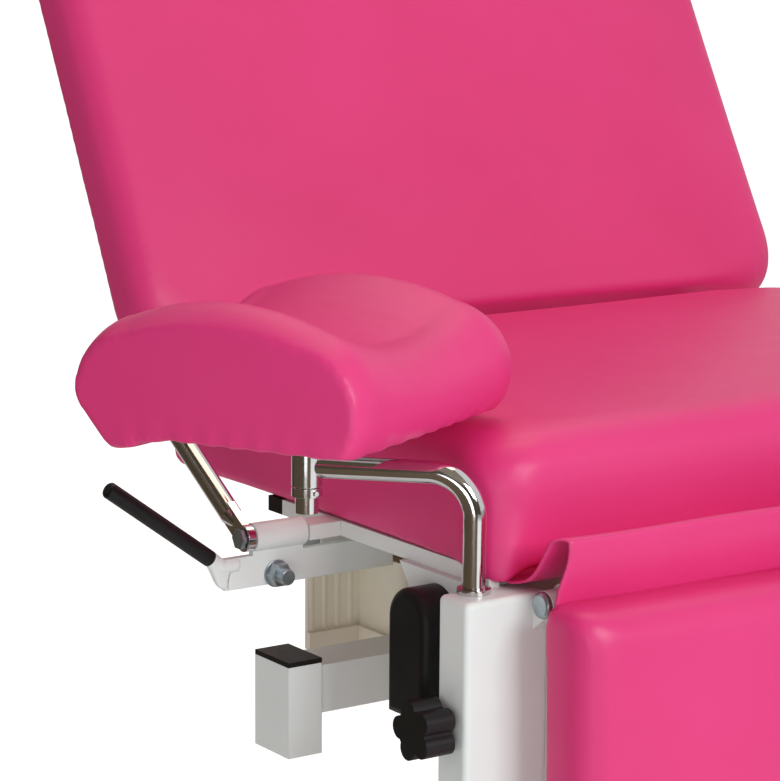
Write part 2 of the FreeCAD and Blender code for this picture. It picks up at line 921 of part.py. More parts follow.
def backrest_frame():
    """Two flat tubes up the back of the board with two cross tubes between them."""
    length = back_length - 2 * board_margin
    start = back_face + up_slope * board_margin
    x0 = -back_tube_x - back_tube_width / 2
    tube = square_tube(x0, x0 + back_tube_width, 0, length, -back_tube_depth, 0, "Y")
    left = placed(tube, X_AXIS, up_slope, start)
    reach = back_tube_x - back_tube_width / 2
    pieces = [left, mirrored(left)]
    for height in (back_cross_low, back_cross_high):
        y0 = height - back_cross_height / 2
        cross = square_tube(-reach, reach, y0, y0 + back_cross_height, -back_tube_depth, 0, "X")
        pieces.append(placed(cross, X_AXIS, up_slope, start))
    return Part.makeCompound(pieces)


def backrest_pivot():
    """The turning tube on the hinge line with the two arms that carry the frame tubes."""
    x_end = back_lug_inner() - side_play
    tube = across(-x_end, x_end, back_hinge, back_pivot_radius)
    behind = back_face + rearward * back_tube_depth
    end = behind + up_slope * (board_margin + back_arm_reach)
    corners = [
        back_hinge - up_slope * (back_pivot_radius / 2),
        back_hinge + up_slope * (back_pivot_radius / 2),
        behind - up_slope * back_gap,
        end,
        end + rearward * bar_thickness,
        behind + rearward * bar_thickness - up_slope * bar_thickness,
        back_hinge + rearward * back_pivot_radius,
    ]
    outline = [(c.y, c.z) for c in corners]
    pieces = [tube]
    for side in (-1, 1):
        x = side * back_tube_x
        pieces.append(plate_across(outline, x - back_arm_width / 2, x + back_arm_width / 2))
    plug = 2 * back_pivot_radius
    hollow = across(-x_end + plug, x_end - plug, back_hinge, back_pivot_radius - 2 * tube_wall)
    bore = across(-x_end - past, x_end + past, back_hinge, hinge_bolt_radius + run_fit)
    return fuse(pieces).cut(fuse([hollow, bore]))


# Leg rest frame and its drive

def crank_tip(centre):
    a = math.radians(crank_angle)
    return centre + vec(0, crank_radius * math.cos(a), crank_radius * math.sin(a))


def strip(first, last, half, x0, x1):
    """A flat strip between two places in the side view, without its round ends."""
    side = vec(0, first.z - last.z, last.y - first.y)
    side.normalize()
    side = side * half
    corners = [first + side, last + side, last - side, first - side]
    return plate_across([(c.y, c.z) for c in corners], x0, x1)


def leg_rest_frame():
    """Flat bars that hang on the hinge bolts, each with a crank ear and its pin, and a cross tube."""
    x0 = -leg_bar_outer
    x1 = -leg_bar_inner
    tip = crank_tip(leg_hinge)
    bar = block(x0, x1, leg_back, leg_back + leg_bar_width, block_top - leg_bar_length, leg_hinge.z)
    notch = block(x0 - past, x1 + past, leg_hinge.y, leg_back + leg_bar_width + past, leg_hinge.z - leg_bar_head,
                  leg_hinge.z + past)
    pieces = [
        bar.cut(notch),
        across(x0, x1, leg_hinge, leg_bar_head),
        strip(leg_hinge, tip, crank_eye, x0, x1),
        across(x0, x1, tip, crank_eye),
        across(x1, -link_inner, tip, crank_pin_radius),
    ]
    bar = fuse(pieces).cut(across(x0 - past, x1 + past, leg_hinge, hinge_bolt_radius + run_fit))
    low = block_top - leg_bar_length
    cross = square_tube(x1, -x1, leg_back, leg_back + leg_cross_depth, low, low + leg_cross_height, "X")
    return Part.makeCompound([bar, mirrored(bar), cross])


def torque_shaft():
    """The steel shaft that turns the leg rest, with a crank and its pin at each end."""
    tip = crank_tip(shaft)
    pieces = [across(-rod_x + gusset_outset - motor_shaft_depth, rod_x - gusset_outset + shaft_end, shaft,
                     shaft_radius)]
    for side in (-1, 1):
        x0, x1 = sorted((side * crank_outer, side * crank_inner))
        pieces.append(across(x0, x1, shaft, crank_hub))
        pieces.append(strip(shaft, tip, crank_eye, x0, x1))
        pieces.append(across(x0, x1, tip, crank_eye))
        p0, p1 = sorted((side * crank_outer, side * link_outer))
        pieces.append(across(p0, p1, tip, crank_pin_radius))
    return fuse(pieces)


def drive_links():
    """Flat links from the shaft cranks to the crank ears of the leg rest."""
    first = crank_tip(shaft)
    last = crank_tip(leg_hinge)
    x0 = -link_outer
    x1 = -link_inner
    body = fuse([
        strip(first, last, link_height / 2, x0, x1),
        across(x0, x1, first, crank_eye),
        across(x0, x1, last, crank_eye),
    ])
    for end in (first, last):
        body = body.cut(across(x0 - past, x1 + past, end, crank_pin_radius + run_fit))
    return both(body)


def leg_gearmotor():
    """The gear motor on the outer face of the left gusset, with a round head over the shaft."""
    x1 = -rod_x + gusset_outset
    x0 = x1 - motor_thickness
    half = motor_width / 2
    spring = block_top - motor_top_drop - half
    low = block_top - motor_low_drop
    edges = [
        line(vec(x0, shaft.y - half, low), vec(x0, shaft.y - half, spring)),
        arc(vec(x0, shaft.y - half, spring), vec(x0, shaft.y, spring + half), vec(x0, shaft.y + half, spring)),
        line(vec(x0, shaft.y + half, spring), vec(x0, shaft.y + half, low)),
        line(vec(x0, shaft.y + half, low), vec(x0, shaft.y - half, low)),
    ]
    body = Part.Face(Part.Wire(edges)).extrude(vec(motor_thickness, 0, 0))
    rim = [e for e in body.Edges if e.BoundBox.XMax < x0 + 0.01]
    body = body.makeFillet(motor_round, rim)
    return body.cut(across(x1 - motor_shaft_depth, x1 + past, shaft, shaft_radius + run_fit))


# Knee crutches

def arm_end():
    a = math.radians(arm_angle)
    return vec(-rod_x + arm_reach * math.cos(a), rod_y + arm_reach * math.sin(a), block_top)


def socket_bush():
    low = block_top - bush_length
    body = upright(-rod_x, rod_y, low, block_top + bush_flange, bush_radius)
    flange = upright(-rod_x, rod_y, block_top + run_fit, block_top + bush_flange, bush_flange_radius)
    hole = upright(-rod_x, rod_y, low - past, block_top + bush_flange + past, rod_radius + run_fit)
    return fuse([body, flange]).cut(hole)


def crutch_rod():
    """The bent chrome rod with the upright sleeve welded on its end."""
    end = arm_end()
    along = vec(end.x + rod_x, end.y - rod_y, 0)
    along.normalize()
    high = block_top + rod_rise
    k = rod_bend * (1 - math.sqrt(0.5))
    foot = vec(-rod_x, rod_y, block_top - rod_insert)
    bend_low = vec(-rod_x, rod_y, high - rod_bend)
    bend_mid = vec(-rod_x, rod_y, high - k) + along * k
    bend_high = vec(-rod_x, rod_y, high) + along * rod_bend
    last = vec(end.x, end.y, high) - along * rod_end_inset
    path = Part.Wire([line(foot, bend_low), arc(bend_low, bend_mid, bend_high), line(bend_high, last)])
    profile = Part.Wire(Part.makeCircle(rod_radius, foot, Z_AXIS))
    bar = path.makePipeShell([profile], True, False)
    sleeve = upright(end.x, end.y, block_top + sleeve_low, block_top + sleeve_high, sleeve_radius)
    hole = upright(end.x, end.y, block_top + sleeve_low - past, block_top + sleeve_high + past,
                   rod_radius + run_fit)
    return bar.fuse(sleeve).cut(hole)


def crutch_spindle():
    """The turning pin of the pad, with its shoulder, its pinned ring and the plate screwed under the pad."""
    end = arm_end()
    plate_top = block_top + pad_base_rise - soft_gap
    plate_low = plate_top - pad_plate_thickness
    ring_top = block_top + sleeve_low - side_play
    half = pad_plate_size / 2
    plate = round_upright(block(-half, half, -half, half, 0, pad_plate_thickness), pad_plate_corner)
    plate.rotate(ORIGIN, Z_AXIS, pad_yaw)
    plate.translate(vec(end.x, end.y, plate_low))
    ring_mid = ring_top - pin_ring_height / 2
    pin_reach = sleeve_radius + cross_pin_stand
    pieces = [
        upright(end.x, end.y, block_top + pin_low, plate_low, rod_radius),
        upright(end.x, end.y, block_top + sleeve_high + soft_gap, plate_low, sleeve_radius + pin_shoulder),
        upright(end.x, end.y, ring_top - pin_ring_height, ring_top, sleeve_radius),
        rod(vec(end.x, end.y - pin_reach, ring_mid), vec(end.x, end.y + pin_reach, ring_mid), cross_pin_radius),
        plate,
    ]
    return fuse(pieces)


def pad_outline(place, half, height, lift):
    """The loaf outline of the pad at one place across it: flat base, round sides and a round top."""
    base = pad_foot_share * half
    shoulder = pad_shoulder_share * half
    belly = lift + pad_belly_share * (height - lift)
    cheek = lift + pad_cheek_share * (height - lift)
    a = vec(place, -base, lift)
    b = vec(place, base, lift)
    c = vec(place, shoulder, cheek)
    d = vec(place, -shoulder, cheek)
    return Part.Wire([
        line(a, b),
        arc(b, vec(place, half, belly), c),
        arc(c, vec(place, 0, height), d),
        arc(d, vec(place, -half, belly), a),
    ])


def crutch_pad():
    """A saddle: round along the leg, dipped across it, with a rolled rim above each flat end."""
    half = pad_along / 2
    reach = pad_across / 2
    rims = []
    for step in range(pad_rim_steps):
        share = step / pad_rim_steps
        rims.append((pad_rim_depth * share, pad_rim_drop * (1 - share) ** 2))
    stations = []
    for back, drop in rims:
        stations.append((back - reach, half - pad_rim_side * drop, pad_height - drop, pad_rim_lift * drop))
    for step in range(pad_dip_steps + 1):
        t = 2 * step / pad_dip_steps - 1
        rim = pad_height + (pad_far_height - pad_height) * (1 + t) / 2
        stations.append((t * (reach - pad_rim_depth), half, rim - pad_dip * (1 - t * t), 0.0))
    for back, drop in rims[::-1]:
        stations.append((reach - back, half - pad_rim_side * drop, pad_far_height - drop, pad_rim_lift * drop))
    pad = Part.makeLoft([pad_outline(*s) for s in stations], True, True)
    pad.translate(vec(0, pad_offset, 0))
    pad.rotate(ORIGIN, Z_AXIS, pad_yaw)
    end = arm_end()
    pad.translate(vec(end.x, end.y, block_top + pad_base_rise))
    return pad


def clamp_knob():
    """A lobed knob on a screw through the outer wall of the block, clamping the socket bush."""
    z = block_top - knob_drop
    x1 = -block_outer - knob_stand
    x0 = x1 - knob_depth
    centre = vec(0, rod_y, z)
    pieces = [across(x0, x1, centre, knob_core_radius)]
    for n in range(knob_lobes):
        a = 2 * math.pi * n / knob_lobes
        lobe = vec(0, rod_y + knob_lobe_reach * math.cos(a), z + knob_lobe_reach * math.sin(a))
        pieces.append(across(x0, x1, lobe, knob_lobe_radius))
    pieces.append(across(x1, -rod_x - bush_radius - soft_gap, centre, knob_screw_radius))
    return fuse(pieces)


# Side lever and hand bar

lever_bush_x0 = -rod_x - lever_bush_outer
lever_bush_x1 = -rod_x - lever_bush_inner
bar_x1 = lever_bush_x0 - side_play
bar_x0 = bar_x1 - bar_tongue


def lever_direction():
    a = math.radians(lever_grip_angle)
    return vec(-math.cos(a), 0, math.sin(a))


def stub_start():
    return vec(-rod_x - lever_outer - lever_stub_gap, pivot.y, pivot.z - lever_high - lever_stub_radius)


def grip_start():
    return stub_start() + lever_direction() * lever_stub_length


def release_lever():
    """A bush on the pivot bolt, the flat plate welded under it and the bent stub that carries the grip."""
    y0 = pivot.y - lever_plate / 2
    low = pivot.z - lever_low
    high = pivot.z - lever_high
    weld = pivot.z - lever_bush_radius + weld_depth
    outer = -rod_x - lever_outer
    inner = -rod_x + lever_inner
    corners = [
        (outer, low),
        (inner, low),
        (inner, high),
        (lever_bush_x1, high),
        (lever_bush_x1, weld),
        (lever_bush_x0, weld),
        (lever_bush_x0, high),
        (outer, high),
    ]
    points = [vec(x, y0, z) for x, z in corners]
    start = stub_start()
    pieces = [
        across(lever_bush_x0, lever_bush_x1, pivot, lever_bush_radius),
        Part.Face(Part.makePolygon(points + points[:1])).extrude(vec(0, lever_plate, 0)),
        rod(vec(outer + lever_stub_root, start.y, start.z), start, lever_stub_radius),
        Part.makeSphere(lever_stub_radius, start),
        rod(start, grip_start(), lever_stub_radius),
        rod(grip_start(), grip_start() + lever_direction() * lever_tang_length, lever_tang_radius),
    ]
    bore = across(lever_bush_x0 - past, lever_bush_x1 + past, pivot, pivot_bolt_radius + run_fit)
    return fuse(pieces).cut(bore)


def lever_grip():
    end = grip_start() + lever_direction() * lever_grip_length
    grip = rod(grip_start(), end, lever_grip_radius)
    grip = grip.makeFillet(edge_round, [e for e in grip.Edges if e.Closed])
    tang_end = grip_start() + lever_direction() * lever_tang_length
    return grip.cut(rod(grip_start() - lever_direction(), tang_end, lever_tang_radius))


def pivot_boss():
    """The block on the seat rail into which the pivot bolt is screwed."""
    half = pivot_boss_width / 2
    boss = block(lever_bush_x1 + side_play, -rail_outer, pivot.y - half, pivot.y + half, block_top,
                 seat_bottom - soft_gap)
    return both(boss.cut(across(lever_bush_x1, -rail_outer + past, pivot, pivot_bolt_radius)))


def lever_pivot_bolt():
    x0 = bar_x0 - side_play
    shank = across(x0, -rail_outer, pivot, pivot_bolt_radius)
    return fuse([hexagon(x0, pivot, pivot_head_radius, pivot_head_height), shank])


def bar_direction():
    a = math.radians(bar_angle)
    return vec(0, math.cos(a), math.sin(a))


def bar_place(distance):
    return vec((bar_x0 + bar_x1) / 2, pivot.y, pivot.z) + bar_direction() * distance


def hand_bar():
    """A chrome bar with a flattened foot on the pivot bolt."""
    flat_end = vec(0, pivot.y, pivot.z) + bar_direction() * bar_flat_length
    pieces = [
        across(bar_x0, bar_x1, pivot, bar_eye),
        strip(vec(0, pivot.y, pivot.z), flat_end, bar_radius, bar_x0, bar_x1),
        Part.makeCone(bar_tongue / 2, bar_radius, bar_swell_length, bar_place(bar_swell_start), bar_direction()),
        rod(bar_place(bar_swell_start + bar_swell_length), bar_place(bar_length), bar_radius),
    ]
    return fuse(pieces).cut(across(bar_x0 - past, bar_x1 + past, pivot, pivot_bolt_radius + run_fit))


def hand_bar_grip():
    """A rubber sleeve over the top end of the bar, closed at its tip."""
    low = bar_place(bar_length - bar_grip_length)
    grip = rod(low, bar_place(bar_length + bar_grip_end), bar_grip_radius)
    grip = grip.makeFillet(bar_grip_round, [e for e in grip.Edges if e.Closed])
    return grip.cut(rod(low - bar_direction(), bar_place(bar_length), bar_radius))


seat_cushion, seat_board = seat_pieces()
backrest_cushion, backrest_board = back_pieces()
leg_cushion, leg_board = leg_pieces()

parts = {
    "base_side_tubes": base_side_tubes(),
    "base_cross_tubes": base_cross_tubes(),
    "base_end_caps": base_end_caps(),
    "foot_pads": foot_pads(),
    "base_fasteners": base_fasteners(),
    "column_foot_plate": column_foot_plate(),
    "column_outer": column_outer(),
    "column_wiper_lower": wiper_lower(),
    "lift_gearmotor": lift_gearmotor(),
    "lift_screw": lift_screw(),
    "power_inlet": power_inlet(),
    "column_middle": column_middle(),
    "column_wiper_upper": wiper_upper(),
    "column_inner": column_inner(),
    "column_head_plate": column_head_plate(),
    "carriage_beams": carriage_beams(),
    "carriage_uprights": carriage_uprights(),
    "frame_plugs": frame_plugs(),
    "side_covers": both(side_cover()),
    "seat_rails": both(seat_rail()),
    "seat_cross_tubes": seat_cross_tubes(),
    "seat_spines": seat_spines(),
    "gussets": gussets(),
    "front_blocks": both(front_block()),
    "seat_board": seat_board,
    "seat_cushion": seat_cushion,
    "front_flap": front_flap(),
    "hinge_lugs": both(leg_lug(), back_lug()),
    "pivot_bolts": both(leg_hinge_bolt(), lever_pivot_bolt()),
    "pivot_bosses": pivot_boss(),
    "recliner_discs": recliner_discs(),
    "leg_gearmotor": leg_gearmotor(),
    "backrest_cushion": backrest_cushion,
    "backrest_board": backrest_board,
    "backrest_frame": backrest_frame(),
    "backrest_pivot": backrest_pivot(),
    "leg_rest_cushion": leg_cushion,
    "leg_rest_board": leg_board,
    "leg_rest_frame": leg_rest_frame(),
    "torque_shaft": torque_shaft(),
    "drive_links": drive_links(),
}
for name, make in (
    ("socket_bush", socket_bush),
    ("crutch_rod", crutch_rod),
    ("crutch_spindle", crutch_spindle),
    ("crutch_pad", crutch_pad),
    ("clamp_knob", clamp_knob),
    ("release_lever", release_lever),
    ("lever_grip", lever_grip),
    ("hand_bar", hand_bar),
    ("hand_bar_grip", hand_bar_grip),
):
    shape = make()
    parts["left_" + name] = shape
    parts["right_" + name] = mirrored(shape)

os.makedirs("parts", exist_ok=True)
for name, shape in parts.items():
    shape.exportStep("parts/" + name + ".step")
    box = shape.BoundBox
    print(name, "solids", len(shape.Solids), "cm3", round(shape.Volume / 1000, 1), "valid", shape.isValid(),
          "x", round(box.XMin, 1), round(box.XMax, 1), "y", round(box.YMin, 1), round(box.YMax, 1),
          "z", round(box.ZMin, 1), round(box.ZMax, 1))
whole = Part.makeCompound(list(parts.values())).BoundBox
print(len(parts), "nodes; whole x", whole.XMin, whole.XMax, "y", whole.YMin, whole.YMax, "z", whole.ZMin, whole.ZMax)
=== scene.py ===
# %% [markdown]
# # Dressing an examination chair
# The chair's steel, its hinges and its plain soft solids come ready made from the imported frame.
# This lesson gives every surface its finish, swaps the plain soft solids for upholstery that swells
# like foam under tight vinyl, and sets up the studio and the camera.

# %% Open the frame
import json
import math

import bmesh
import bpy
import numpy as np
from mathutils import Matrix, Vector


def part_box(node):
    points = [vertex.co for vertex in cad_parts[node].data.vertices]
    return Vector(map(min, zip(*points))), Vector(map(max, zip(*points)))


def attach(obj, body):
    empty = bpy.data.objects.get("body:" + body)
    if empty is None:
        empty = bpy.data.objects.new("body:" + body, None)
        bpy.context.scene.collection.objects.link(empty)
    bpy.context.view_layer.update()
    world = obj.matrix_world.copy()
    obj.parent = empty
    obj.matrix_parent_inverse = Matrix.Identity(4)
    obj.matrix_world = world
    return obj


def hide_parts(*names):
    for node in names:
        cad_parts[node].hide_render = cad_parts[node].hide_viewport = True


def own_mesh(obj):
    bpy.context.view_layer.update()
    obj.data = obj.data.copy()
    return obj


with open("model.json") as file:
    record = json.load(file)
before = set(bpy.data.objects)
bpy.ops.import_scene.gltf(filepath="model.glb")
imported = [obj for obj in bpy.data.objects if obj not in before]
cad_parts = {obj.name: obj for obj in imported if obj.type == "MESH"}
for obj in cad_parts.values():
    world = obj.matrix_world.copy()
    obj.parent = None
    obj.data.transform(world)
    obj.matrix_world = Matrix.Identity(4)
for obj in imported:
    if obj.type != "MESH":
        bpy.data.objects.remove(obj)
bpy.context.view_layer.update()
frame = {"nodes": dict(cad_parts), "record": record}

nodes = frame["nodes"]
scene = bpy.context.scene
scene.view_settings.view_transform = "Standard"

# %% [markdown]
# ## Where the chair's landmarks are
# The left crutch rod stands in a round bush on top of the left front block. That point is easy to find
# in any picture of the chair, so the camera and the vinyl flap are both placed from it.

# %% Find the foot of the left crutch rod
bush_low, bush_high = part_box("left_socket_bush")
block_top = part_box("front_blocks")[1].z
rod_foot = Vector(((bush_low.x + bush_high.x) / 2, (bush_low.y + bush_high.y) / 2, block_top))
print("left rod foot at", tuple(round(v, 4) for v in rod_foot))

# %% [markdown]
# ## The camera
# A long lens stands in front of the chair on its left, a little above the seat. The angles were found by
# fitting the rod, the block and the cushions to their places in the picture. Building the camera's three
# axes by hand keeps the small roll, which a track-to constraint would lose.

# %% Place the camera
picture_width = 780
picture_height = 781
focal_pixels = 2833.148
camera_from_rod = Vector((-1.227357, -1.674913, 0.541005))
view_azimuth = math.radians(34.455)
view_drop = math.radians(10.539)
view_roll = math.radians(0.417)
sensor_width = 36.0

look = Vector((math.sin(view_azimuth) * math.cos(view_drop), math.cos(view_azimuth) * math.cos(view_drop),
               -math.sin(view_drop)))
level = Vector((math.cos(view_azimuth), -math.sin(view_azimuth), 0.0))
above = level.cross(look)
camera_right = level * math.cos(view_roll) + above * math.sin(view_roll)
camera_up = above * math.cos(view_roll) - level * math.sin(view_roll)

lens = bpy.data.cameras.new("camera")
lens.sensor_width = sensor_width
lens.lens = focal_pixels * sensor_width / max(picture_width, picture_height)
lens.clip_start = 0.05
lens.clip_end = 200.0
camera = bpy.data.objects.new("camera", lens)
scene.collection.objects.link(camera)
axes = Matrix((camera_right, camera_up, -look)).transposed().to_4x4()
camera.matrix_world = Matrix.Translation(rod_foot + camera_from_rod) @ axes
scene.camera = camera
print("lens", round(lens.lens, 2), "mm at", tuple(round(v, 3) for v in camera.location))

# %% [markdown]
# ## Writing colours and nodes
# Colours are easiest to judge as they look on a screen, from 0 to 255, but shaders want linear light.
# One helper converts them. Two more add a node with its settings and join two sockets, so that each
# finish below reads as a short recipe.

# %% Helpers for finishes
def screen_colour(red, green, blue):
    """A colour as a screen shows it, turned into linear light."""
    linear = []
    for value in (red, green, blue):
        share = value / 255
        linear.append(share / 12.92 if share <= 0.04045 else ((share + 0.055) / 1.055) ** 2.4)
    return (*linear, 1.0)


def add_node(finish, kind, **settings):
    """A new node in a finish, with its properties and its inputs set by name."""
    node = finish.node_tree.nodes.new(kind)
    for name, value in settings.items():
        if name in node.bl_rna.properties:
            setattr(node, name, value)
        else:
            node.inputs[name.replace("_", " ")].default_value = value
    return node


def join(finish, output, socket):
    finish.node_tree.links.new(output, socket)


def new_finish(name, colour, roughness, metallic=0.0, specular=0.5):
    finish = bpy.data.materials.new(name)
    finish.use_nodes = True
    shader = finish.node_tree.nodes["Principled BSDF"]
    shader.inputs["Base Color"].default_value = colour
    shader.inputs["Roughness"].default_value = roughness
    shader.inputs["Metallic"].default_value = metallic
    shader.inputs["Specular IOR Level"].default_value = specular
    return finish, shader


def object_space(finish):
    """Places on the piece itself, in metres, so that a pattern stays put when the piece moves."""
    return add_node(finish, "ShaderNodeTexCoord").outputs["Object"]


def noise_of(finish, place, scale, detail=4.0, rough=0.55):
    node = add_node(finish, "ShaderNodeTexNoise", Scale=scale, Detail=detail, Roughness=rough)
    join(finish, place, node.inputs["Vector"])
    return node.outputs["Fac"]


def ramp_of(finish, value, stops):
    """A colour ramp from (position, colour) pairs."""
    node = add_node(finish, "ShaderNodeValToRGB")
    elements = node.color_ramp.elements
    while len(elements) < len(stops):
        elements.new(0.5)
    for element, (position, colour) in zip(elements, stops):
        element.position = position
        element.color = colour
    join(finish, value, node.inputs["Fac"])
    return node.outputs["Color"]


def range_of(finish, value, low, high):
    node = add_node(finish, "ShaderNodeMapRange", To_Min=low, To_Max=high)
    join(finish, value, node.inputs["Value"])
    return node.outputs["Result"]


def bump_of(finish, height, strength, distance, under=None):
    node = add_node(finish, "ShaderNodeBump", Strength=strength, Distance=distance)
    join(finish, height, node.inputs["Height"])
    if under is not None:
        join(finish, under, node.inputs["Normal"])
    return node.outputs["Normal"]


def soft_edge(finish, radius):
    """Rounds the look of a sharp machined edge."""
    return add_node(finish, "ShaderNodeBevel", samples=4, Radius=radius).outputs["Normal"]


# %% [markdown]
# ## Pink vinyl
# Upholstery vinyl is a smooth plastic skin with a fine leather grain, about a millimetre across. It has a
# broad, soft gloss. Cells from a Voronoi texture make the grain, a second finer noise breaks it up, and a
# slow noise moves the pink by a few steps, as a stretched sheet shows where it is pulled.

# %% Make the vinyl
def make_vinyl():
    finish, shader = new_finish("pink_vinyl", screen_colour(229, 48, 124), roughness=0.46, specular=0.62)
    place = object_space(finish)
    tint = ramp_of(finish, noise_of(finish, place, scale=5.0, detail=3.0), [
        (0.30, screen_colour(226, 45, 121)),
        (0.70, screen_colour(232, 51, 127)),
    ])
    join(finish, tint, shader.inputs["Base Color"])
    gloss = range_of(finish, noise_of(finish, place, scale=38.0), low=0.40, high=0.52)
    join(finish, gloss, shader.inputs["Roughness"])
    grain = add_node(finish, "ShaderNodeTexVoronoi", feature="DISTANCE_TO_EDGE", Scale=850.0)
    join(finish, place, grain.inputs["Vector"])
    pebbles = bump_of(finish, grain.outputs["Distance"], strength=0.10, distance=0.0006)
    fine_grain = noise_of(finish, place, scale=420.0, detail=2.0)
    skin = bump_of(finish, fine_grain, strength=0.06, distance=0.0008, under=pebbles)
    join(finish, skin, shader.inputs["Normal"])
    return finish


vinyl = make_vinyl()
print("made", vinyl.name)

# %% [markdown]
# ## Paint, chrome and zinc
# The frame is powder coated: off-white, satin, with the faint orange-peel texture of a baked powder.
# The crutch rods are polished chrome. Bolts, shaft and links are zinc plated, with a blue cast and a
# cloudy gloss. All three get a rounded look on their sharp edges, because no real edge is knife sharp.

# %% Make the metals
def make_white_paint():
    finish, shader = new_finish("white_paint", screen_colour(235, 240, 237), roughness=0.36, specular=0.40)
    place = object_space(finish)
    cloud = ramp_of(finish, noise_of(finish, place, scale=9.0), [
        (0.25, screen_colour(232, 237, 234)),
        (0.75, screen_colour(238, 243, 240)),
    ])
    join(finish, cloud, shader.inputs["Base Color"])
    gloss = range_of(finish, noise_of(finish, place, scale=60.0), low=0.30, high=0.42)
    join(finish, gloss, shader.inputs["Roughness"])
    peel = noise_of(finish, place, scale=520.0, detail=1.5)
    skin = bump_of(finish, peel, strength=0.05, distance=0.0006, under=soft_edge(finish, radius=0.0012))
    join(finish, skin, shader.inputs["Normal"])
    return finish


def make_chrome():
    finish, shader = new_finish("chrome", screen_colour(226, 226, 228), roughness=0.09, metallic=1.0)
    place = object_space(finish)
    haze = ramp_of(finish, noise_of(finish, place, scale=26.0), [
        (0.35, screen_colour(219, 218, 219)),
        (0.65, screen_colour(231, 231, 233)),
    ])
    join(finish, haze, shader.inputs["Base Color"])
    gloss = range_of(finish, noise_of(finish, place, scale=140.0), low=0.06, high=0.13)
    join(finish, gloss, shader.inputs["Roughness"])
    rub = noise_of(finish, place, scale=900.0, detail=2.0)
    skin = bump_of(finish, rub, strength=0.015, distance=0.0004, under=soft_edge(finish, radius=0.0006))
    join(finish, skin, shader.inputs["Normal"])
    return finish


def make_zinc():
    finish, shader = new_finish("zinc_steel", screen_colour(178, 190, 196), roughness=0.36, metallic=0.92)
    place = object_space(finish)
    cloud = ramp_of(finish, noise_of(finish, place, scale=75.0), [
        (0.30, screen_colour(160, 172, 178)),
        (0.72, screen_colour(192, 204, 208)),
    ])
    join(finish, cloud, shader.inputs["Base Color"])
    gloss = range_of(finish, noise_of(finish, place, scale=190.0), low=0.28, high=0.46)
    join(finish, gloss, shader.inputs["Roughness"])
    marks = noise_of(finish, place, scale=700.0, detail=3.0)
    skin = bump_of(finish, marks, strength=0.05, distance=0.0004, under=soft_edge(finish, radius=0.0007))
    join(finish, skin, shader.inputs["Normal"])
    return finish


white_paint = make_white_paint()
chrome = make_chrome()
zinc = make_zinc()
print("made", white_paint.name, chrome.name, zinc.name)

# %% [markdown]
# ## Plastics, rubber and plywood
# Grips, knobs and motor housings are moulded in black with a spark-eroded texture. The side covers are a
# cream plastic that has yellowed a little. Boards inside the cushions are birch plywood: long grain from a
# stretched noise, with a fine second figure across it.

# %% Make the plastics and the wood
def make_moulding(name, dark, light, low_gloss, high_gloss, grain, depth):
    """A moulded plastic or rubber between two near shades, with a fine textured skin."""
    finish, shader = new_finish(name, light, high_gloss, specular=0.4)
    place = object_space(finish)
    shade = ramp_of(finish, noise_of(finish, place, scale=24.0), [(0.30, dark), (0.70, light)])
    join(finish, shade, shader.inputs["Base Color"])
    gloss = range_of(finish, noise_of(finish, place, scale=85.0), low_gloss, high_gloss)
    join(finish, gloss, shader.inputs["Roughness"])
    texture = noise_of(finish, place, grain, detail=2.0)
    skin = bump_of(finish, texture, depth, distance=0.0005, under=soft_edge(finish, radius=0.0010))
    join(finish, skin, shader.inputs["Normal"])
    return finish


def make_plywood():
    finish, shader = new_finish("plywood", screen_colour(196, 158, 112), roughness=0.62, specular=0.3)
    spread = add_node(finish, "ShaderNodeMapping", Scale=(70.0, 5.0, 5.0))
    join(finish, object_space(finish), spread.inputs["Vector"])
    place = spread.outputs["Vector"]
    figure = noise_of(finish, place, scale=1.0, detail=6.0, rough=0.62)
    wood = ramp_of(finish, figure, [
        (0.28, screen_colour(170, 128, 84)),
        (0.50, screen_colour(199, 161, 115)),
        (0.74, screen_colour(214, 181, 137)),
    ])
    join(finish, wood, shader.inputs["Base Color"])
    join(finish, range_of(finish, figure, low=0.52, high=0.70), shader.inputs["Roughness"])
    pores = noise_of(finish, place, scale=6.0, detail=3.0)
    skin = bump_of(finish, pores, strength=0.12, distance=0.0005, under=soft_edge(finish, radius=0.0010))
    join(finish, skin, shader.inputs["Normal"])
    return finish


black_plastic = make_moulding("black_plastic", screen_colour(14, 14, 15), screen_colour(25, 25, 26),
                              low_gloss=0.38, high_gloss=0.52, grain=900.0, depth=0.10)
black_rubber = make_moulding("black_rubber", screen_colour(17, 17, 17), screen_colour(31, 31, 32),
                             low_gloss=0.66, high_gloss=0.82, grain=600.0, depth=0.14)
cream_plastic = make_moulding("cream_plastic", screen_colour(240, 231, 212), screen_colour(247, 239, 222),
                              low_gloss=0.34, high_gloss=0.48, grain=700.0, depth=0.06)
plywood = make_plywood()
finishes = {
    "pink_vinyl": vinyl,
    "white_paint": white_paint,
    "chrome": chrome,
    "zinc_steel": zinc,
    "black_plastic": black_plastic,
    "black_rubber": black_rubber,
    "cream_plastic": cream_plastic,
    "plywood": plywood,
}
print("finishes:", ", ".join(finishes))

# %% [markdown]
# ## Finishing the CAD pieces
# The record says which finish each CAD node takes, so one loop paints them all. Tessellated round faces
# look faceted unless their normals are smoothed, and flat faces must stay flat. Smoothing by angle does
# both, without touching the mesh itself.

# %% Paint every CAD node
def wear(piece, finish):
    piece.data.materials.clear()
    piece.data.materials.append(finish)


sharp_angle = math.radians(32)
for subpart in frame["record"]["subparts"]:
    wear(nodes[subpart["node"]], finishes[subpart["material_slot"]])
for piece in nodes.values():
    piece.data.shade_smooth()
    edges = piece.modifiers.new("smooth_by_angle", "EDGE_SPLIT")
    edges.split_angle = sharp_angle
print("painted", len(nodes), "CAD nodes")

